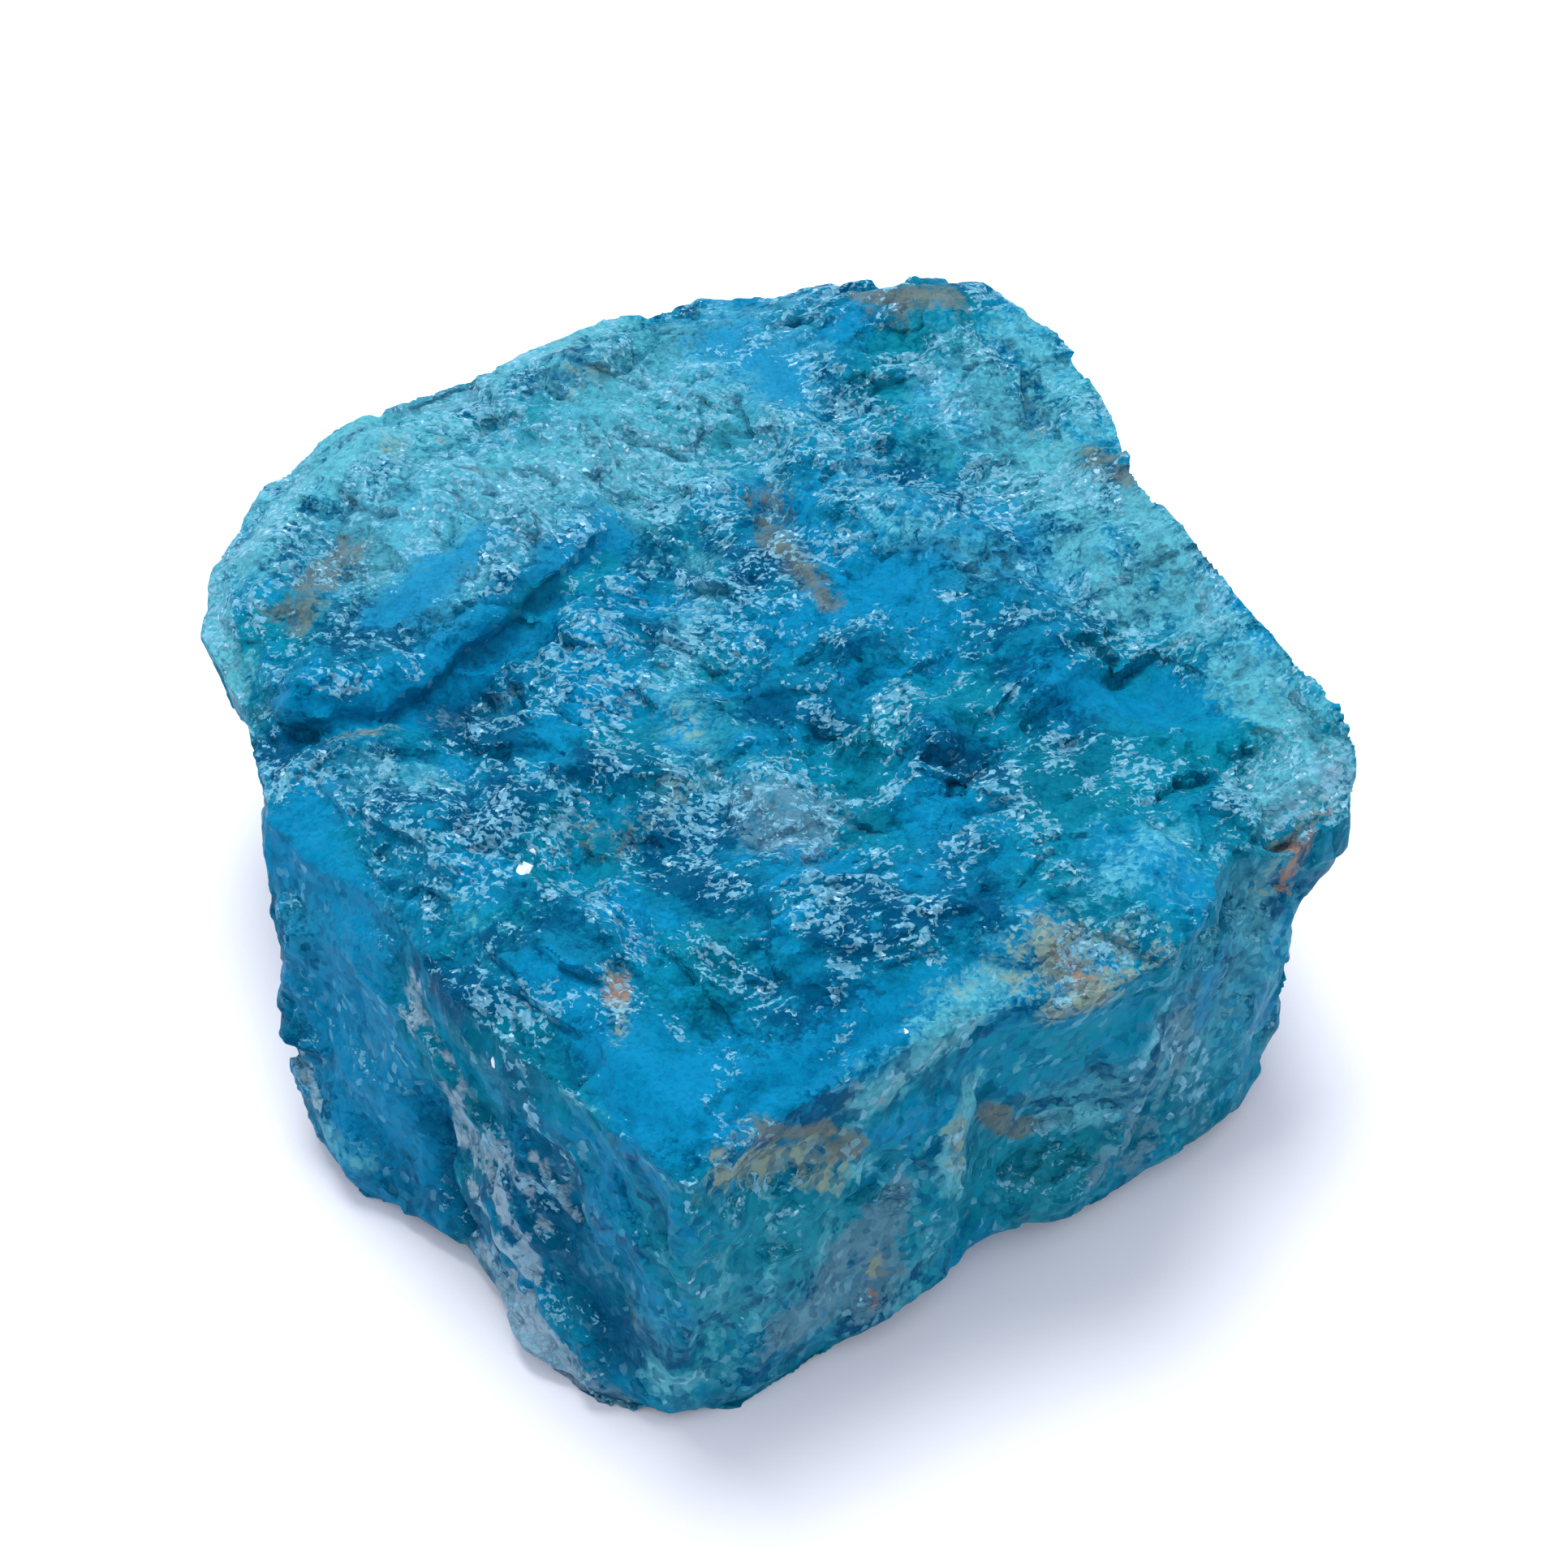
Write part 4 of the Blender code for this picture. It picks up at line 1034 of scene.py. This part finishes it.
    # The body's own tones, then the marks in the order of the table of finishes.
    base = paint["deep"]
    for source, low, high, share, name in (
            (tone, -0.36, 0.0, 1.0, "body"), (tone, 0.0, 0.34, 1.0, "window"),
            (altered, -0.05, 0.35, 0.5, "teal")):
        amount = add("ShaderNodeMapRange", {0: source, 1: low, 2: high, 4: share}, **SOFT)[0]
        base = add("ShaderNodeMix", {0: amount, 6: base, 7: paint[name]}, **COLOURS)[2]
    sandy = add("ShaderNodeMapRange", {0: crumb, 1: 0.05, 2: 0.45}, **SOFT)[0]
    sand = add("ShaderNodeMix", {0: sandy, 6: paint["umber"], 7: paint["tan"]}, **COLOURS)[2]
    for finish, low, high, share in FINISHES:
        near = add("ShaderNodeMapRange", {0: mark[finish], 2: 0.2}, **SOFT)[0]
        reach = add("ShaderNodeMath", {0: ragged, 1: near, 2: mark[finish]},
                    operation="MULTIPLY_ADD")[0]
        amount = add("ShaderNodeMapRange", {0: reach, 1: low, 2: high, 4: share}, **SOFT)[0]
        tint = {"veil": paint["pale"], "tan": sand}.get(finish, paint.get(finish))
        base = add("ShaderNodeMix", {0: amount, 6: base, 7: tint}, **COLOURS)[2]

    # Loose crumbs on the flanks, some with painted light and some with painted shade.
    clusters = add("ShaderNodeMath", {0: medium, 1: mark["clump"]}, operation="ADD")[0]
    clusters = add("ShaderNodeMapRange", {0: clusters, 1: 0.70, 2: 1.05, 3: 0.15}, **SOFT)[0]
    lit = add("ShaderNodeMapRange", {0: spark, 1: 0.80, 2: 0.86}, **SOFT)[0]
    bright = add("ShaderNodeMapRange", {0: shade, 3: 0.15, 4: 0.45}, **SOFT)[0]
    for share in (bright, clusters, flank):
        lit = add("ShaderNodeMath", {0: lit, 1: share}, operation="MULTIPLY")[0]
    dim = add("ShaderNodeMapRange", {0: spark, 1: 0.22, 2: 0.14, 4: 0.42}, **SOFT)[0]
    dim = add("ShaderNodeMath", {0: dim, 1: flank}, operation="MULTIPLY")[0]

    # Frost: how densely its grains lie sets how wide the winding lines are. Its colour is partly
    # the pale of broken grains and partly a painted reflection of the light, and raised crests get
    # more of it as a painted highlight. The medium noise runs from 0 to 1, so half its share comes
    # off.
    crest = mark["crest"]
    stained = add("ShaderNodeMath", {0: mark["umber"], 1: 0.6}, operation="MULTIPLY")[0]
    clear = add("ShaderNodeMath", {0: mark["window"], 1: stained}, operation="MAXIMUM")[0]
    clear = add("ShaderNodeMapRange", {0: clear, 1: 0.2, 2: 0.7}, **SOFT)[0]
    clump_share = add("ShaderNodeMapRange", {0: mark["top"], 3: 0.3}, **SOFT)[0]
    density = -0.225
    for source, share in ((mark["clump"], clump_share), (crest, CREST_HIGHLIGHT), (medium, 0.45),
                          (flake, 0.3), (mark["frost_sheen"], 0.6), (mark["top"], 0.10), (clear, -0.40)):
        density = add("ShaderNodeMath", {0: source, 1: share, 2: density},
                      operation="MULTIPLY_ADD")[0]
    width = add("ShaderNodeMapRange", {0: density, 1: 0.15, 2: 0.9, 3: -0.027, 4: 0.083}, **SOFT)[0]
    jitter = add("ShaderNodeMapRange", {0: density, 2: 0.45, 3: 0.012, 4: 0.06}, **SOFT)[0]
    centred = add("ShaderNodeMath", {0: crumb, 1: 0.5}, operation="SUBTRACT")[0]
    margin = add("ShaderNodeMath", {0: centred, 1: jitter, 2: width}, operation="MULTIPLY_ADD")[0]
    margin = add("ShaderNodeMath", {0: margin, 1: chain}, operation="SUBTRACT")[0]
    frost_sheen_lines = add("ShaderNodeMapRange", {0: margin, 2: 0.010}, **SOFT)[0]
    bright = add("ShaderNodeMapRange", {0: shade, 3: 0.35, 4: 0.85}, **SOFT)[0]
    frost_sheen_lines = add("ShaderNodeMath", {0: frost_sheen_lines, 1: bright}, operation="MULTIPLY")[0]
    # Painted highlights: glints where a frost line is widest and its grain is turned to the light,
    # and the chips. Painted shade: a dark edge just outside each frost line, and the pits where the
    # skin lies below its neighbours. The specks are the grains' own darker tone.
    glint = add("ShaderNodeMapRange", {0: margin, 1: 0.02, 2: 0.04}, **SOFT)[0]
    turned = add("ShaderNodeMapRange", {0: shade, 1: 0.95, 2: 0.97, 4: 0.35}, **SOFT)[0]
    glint = add("ShaderNodeMath", {0: glint, 1: turned}, operation="MULTIPLY")[0]
    specks = add("ShaderNodeMapRange", {0: shade, 2: 0.6, 3: 0.28, 4: 0.0}, **SOFT)[0]
    shadow = add("ShaderNodeMapRange", {0: margin, 1: -0.035, 2: -0.005, 4: 0.25}, **SOFT)[0]
    chips = add("ShaderNodeMapRange", {0: mark["chip"], 1: 0.45, 2: 0.52, 4: 0.95}, **SOFT)[0]
    cavity_shade = add("ShaderNodeMapRange", {0: crest, 1: -0.01, 2: -0.07, 4: 0.35}, **SOFT)[0]
    for amount, name in ((lit, "frost_sheen"), (dim, "deep"), (specks, "deep"), (shadow, "deep"),
                         (frost_sheen_lines, "frost_sheen"), (glint, "glint"), (chips, "glint"), (cavity_shade, "deep")):
        base = add("ShaderNodeMix", {0: amount, 6: base, 7: paint[name]}, **COLOURS)[2]

    # Each shard's face leans its own way: flatter on clear panes, steeper on the flanks.
    from_centre = add("ShaderNodeVectorMath", {0: bent, 1: shard["Position"]},
                      operation="SUBTRACT")[0]
    lean = add("ShaderNodeVectorMath", {0: shard["Color"], 1: (0.5,) * 3}, operation="SUBTRACT")[0]
    height = add("ShaderNodeVectorMath", {0: from_centre, 1: lean},
                 operation="DOT_PRODUCT")["Value"]
    for source, low, high in ((clear, 1.3, 0.4), (flank, 1.0, 2.0)):
        share = add("ShaderNodeMapRange", {0: source, 3: low, 4: high}, **SOFT)[0]
        height = add("ShaderNodeMath", {0: height, 1: share}, operation="MULTIPLY")[0]
    bump = add("ShaderNodeBump", {"Height": height, "Strength": 0.8, "Distance": MM})[0]
    rough = add("ShaderNodeMapRange", {0: crumb, 3: 0.35, 4: 0.6}, **SOFT)[0]
    for socket, source in (("Base Color", base), ("Roughness", rough), ("Normal", bump)):
        tree.links.new(source, shader.inputs[socket])
    shader.inputs["IOR"].default_value = 1.63
    shader.inputs["Specular IOR Level"].default_value = 0.03
    shader.inputs["Specular Tint"].default_value = (0.15, 0.65, 1.0, 1.0)
    shader.inputs["Subsurface Weight"].default_value = 0.15
    shader.inputs["Subsurface Radius"].default_value = (0.25, 0.7, 1.0)
    shader.inputs["Subsurface Scale"].default_value = 0.4 * MM
    return material


def floor_material(settings):
    """Matt white card: even, with no gloss, so that only the stone's shadow shows on it."""
    material = bpy.data.materials.new("matt white card")
    material.use_nodes = True
    shader = material.node_tree.nodes["Principled BSDF"]
    shader.inputs["Base Color"].default_value = (*settings.floor, 1.0)
    shader.inputs["Roughness"].default_value = 0.9
    shader.inputs["Specular IOR Level"].default_value = 0.2
    return material


class APATITE_OT_stone(bpy.types.Operator):
    """Builds the stone over the plain solid of the frame"""
    bl_idname = "apatite.stone"
    bl_label = "Stone"

    def execute(self, context):
        settings = context.scene.apatite_stone
        stone = make_stone(settings)
        stone.data.materials.clear()
        stone.data.materials.append(apatite_material(settings))
        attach(stone, "root")
        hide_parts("stone")
        return {"FINISHED"}


class APATITE_OT_stage(bpy.types.Operator):
    """Builds the floor, the lights and the camera"""
    bl_idname = "apatite.stage"
    bl_label = "Stage"

    def execute(self, context):
        settings = context.scene.apatite_stage
        scene = context.scene
        bm = bmesh.new()
        bmesh.ops.create_grid(bm, x_segments=1, y_segments=1, size=FLOOR_HALF,
                              matrix=Matrix.Translation((0.0, 0.0, -FLOOR_GAP * MM)))
        floor = new_object("floor", bm)
        floor.data.materials.append(floor_material(settings))
        world = bpy.data.worlds.new("even light")
        world.use_nodes = True
        sky = world.node_tree.nodes["Background"]
        sky.inputs["Color"].default_value = (*colour(SKY_COLOUR), 1.0)
        sky.inputs["Strength"].default_value = settings.sky
        scene.world = world
        lamp = bpy.data.lights.new("key", "AREA")
        lamp.shape, lamp.size = "DISK", LAMP_WIDTH
        lamp.energy = settings.key
        key = bpy.data.objects.new("key", lamp)
        scene.collection.objects.link(key)
        key.location = LAMP_PLACE
        key.rotation_euler = key.location.to_track_quat("Z", "Y").to_euler()
        back = Vector((0.0, -math.cos(settings.view_tilt), math.sin(settings.view_tilt)))
        lens = bpy.data.cameras.new("camera")
        lens.sensor_fit, lens.angle = "HORIZONTAL", settings.view_angle
        lens.clip_start = 0.001
        camera = bpy.data.objects.new("camera", lens)
        scene.collection.objects.link(camera)
        camera.location = LOOK_AT + back * settings.view_distance
        camera.rotation_euler = back.to_track_quat("Z", "Y").to_euler()
        scene.camera = camera
        scene.view_settings.view_transform = "Standard"
        return {"FINISHED"}


class APATITE_PT_panel(bpy.types.Panel):
    bl_idname = "APATITE_PT_panel"
    bl_label = "Raw apatite"
    bl_space_type = "VIEW_3D"
    bl_region_type = "UI"
    bl_category = "Apatite"

    def draw(self, context):
        for settings, operator in ((context.scene.apatite_stone, "apatite.stone"),
                                   (context.scene.apatite_stage, "apatite.stage")):
            box = self.layout.box()
            for name in settings.__annotations__:
                box.prop(settings, name)
            box.operator(operator)


CLASSES = (ApatiteStoneSettings, ApatiteStageSettings, APATITE_OT_stone, APATITE_OT_stage,
           APATITE_PT_panel)


def register():
    for cls in CLASSES:
        bpy.utils.register_class(cls)
    bpy.types.Scene.apatite_stone = bpy.props.PointerProperty(type=ApatiteStoneSettings)
    bpy.types.Scene.apatite_stage = bpy.props.PointerProperty(type=ApatiteStageSettings)


def unregister():
    del bpy.types.Scene.apatite_stage
    del bpy.types.Scene.apatite_stone
    for cls in reversed(CLASSES):
        bpy.utils.unregister_class(cls)


def main():
    register()
    bpy.ops.apatite.stage()
    bpy.ops.apatite.stone()


if __name__ == "__main__":
    main()
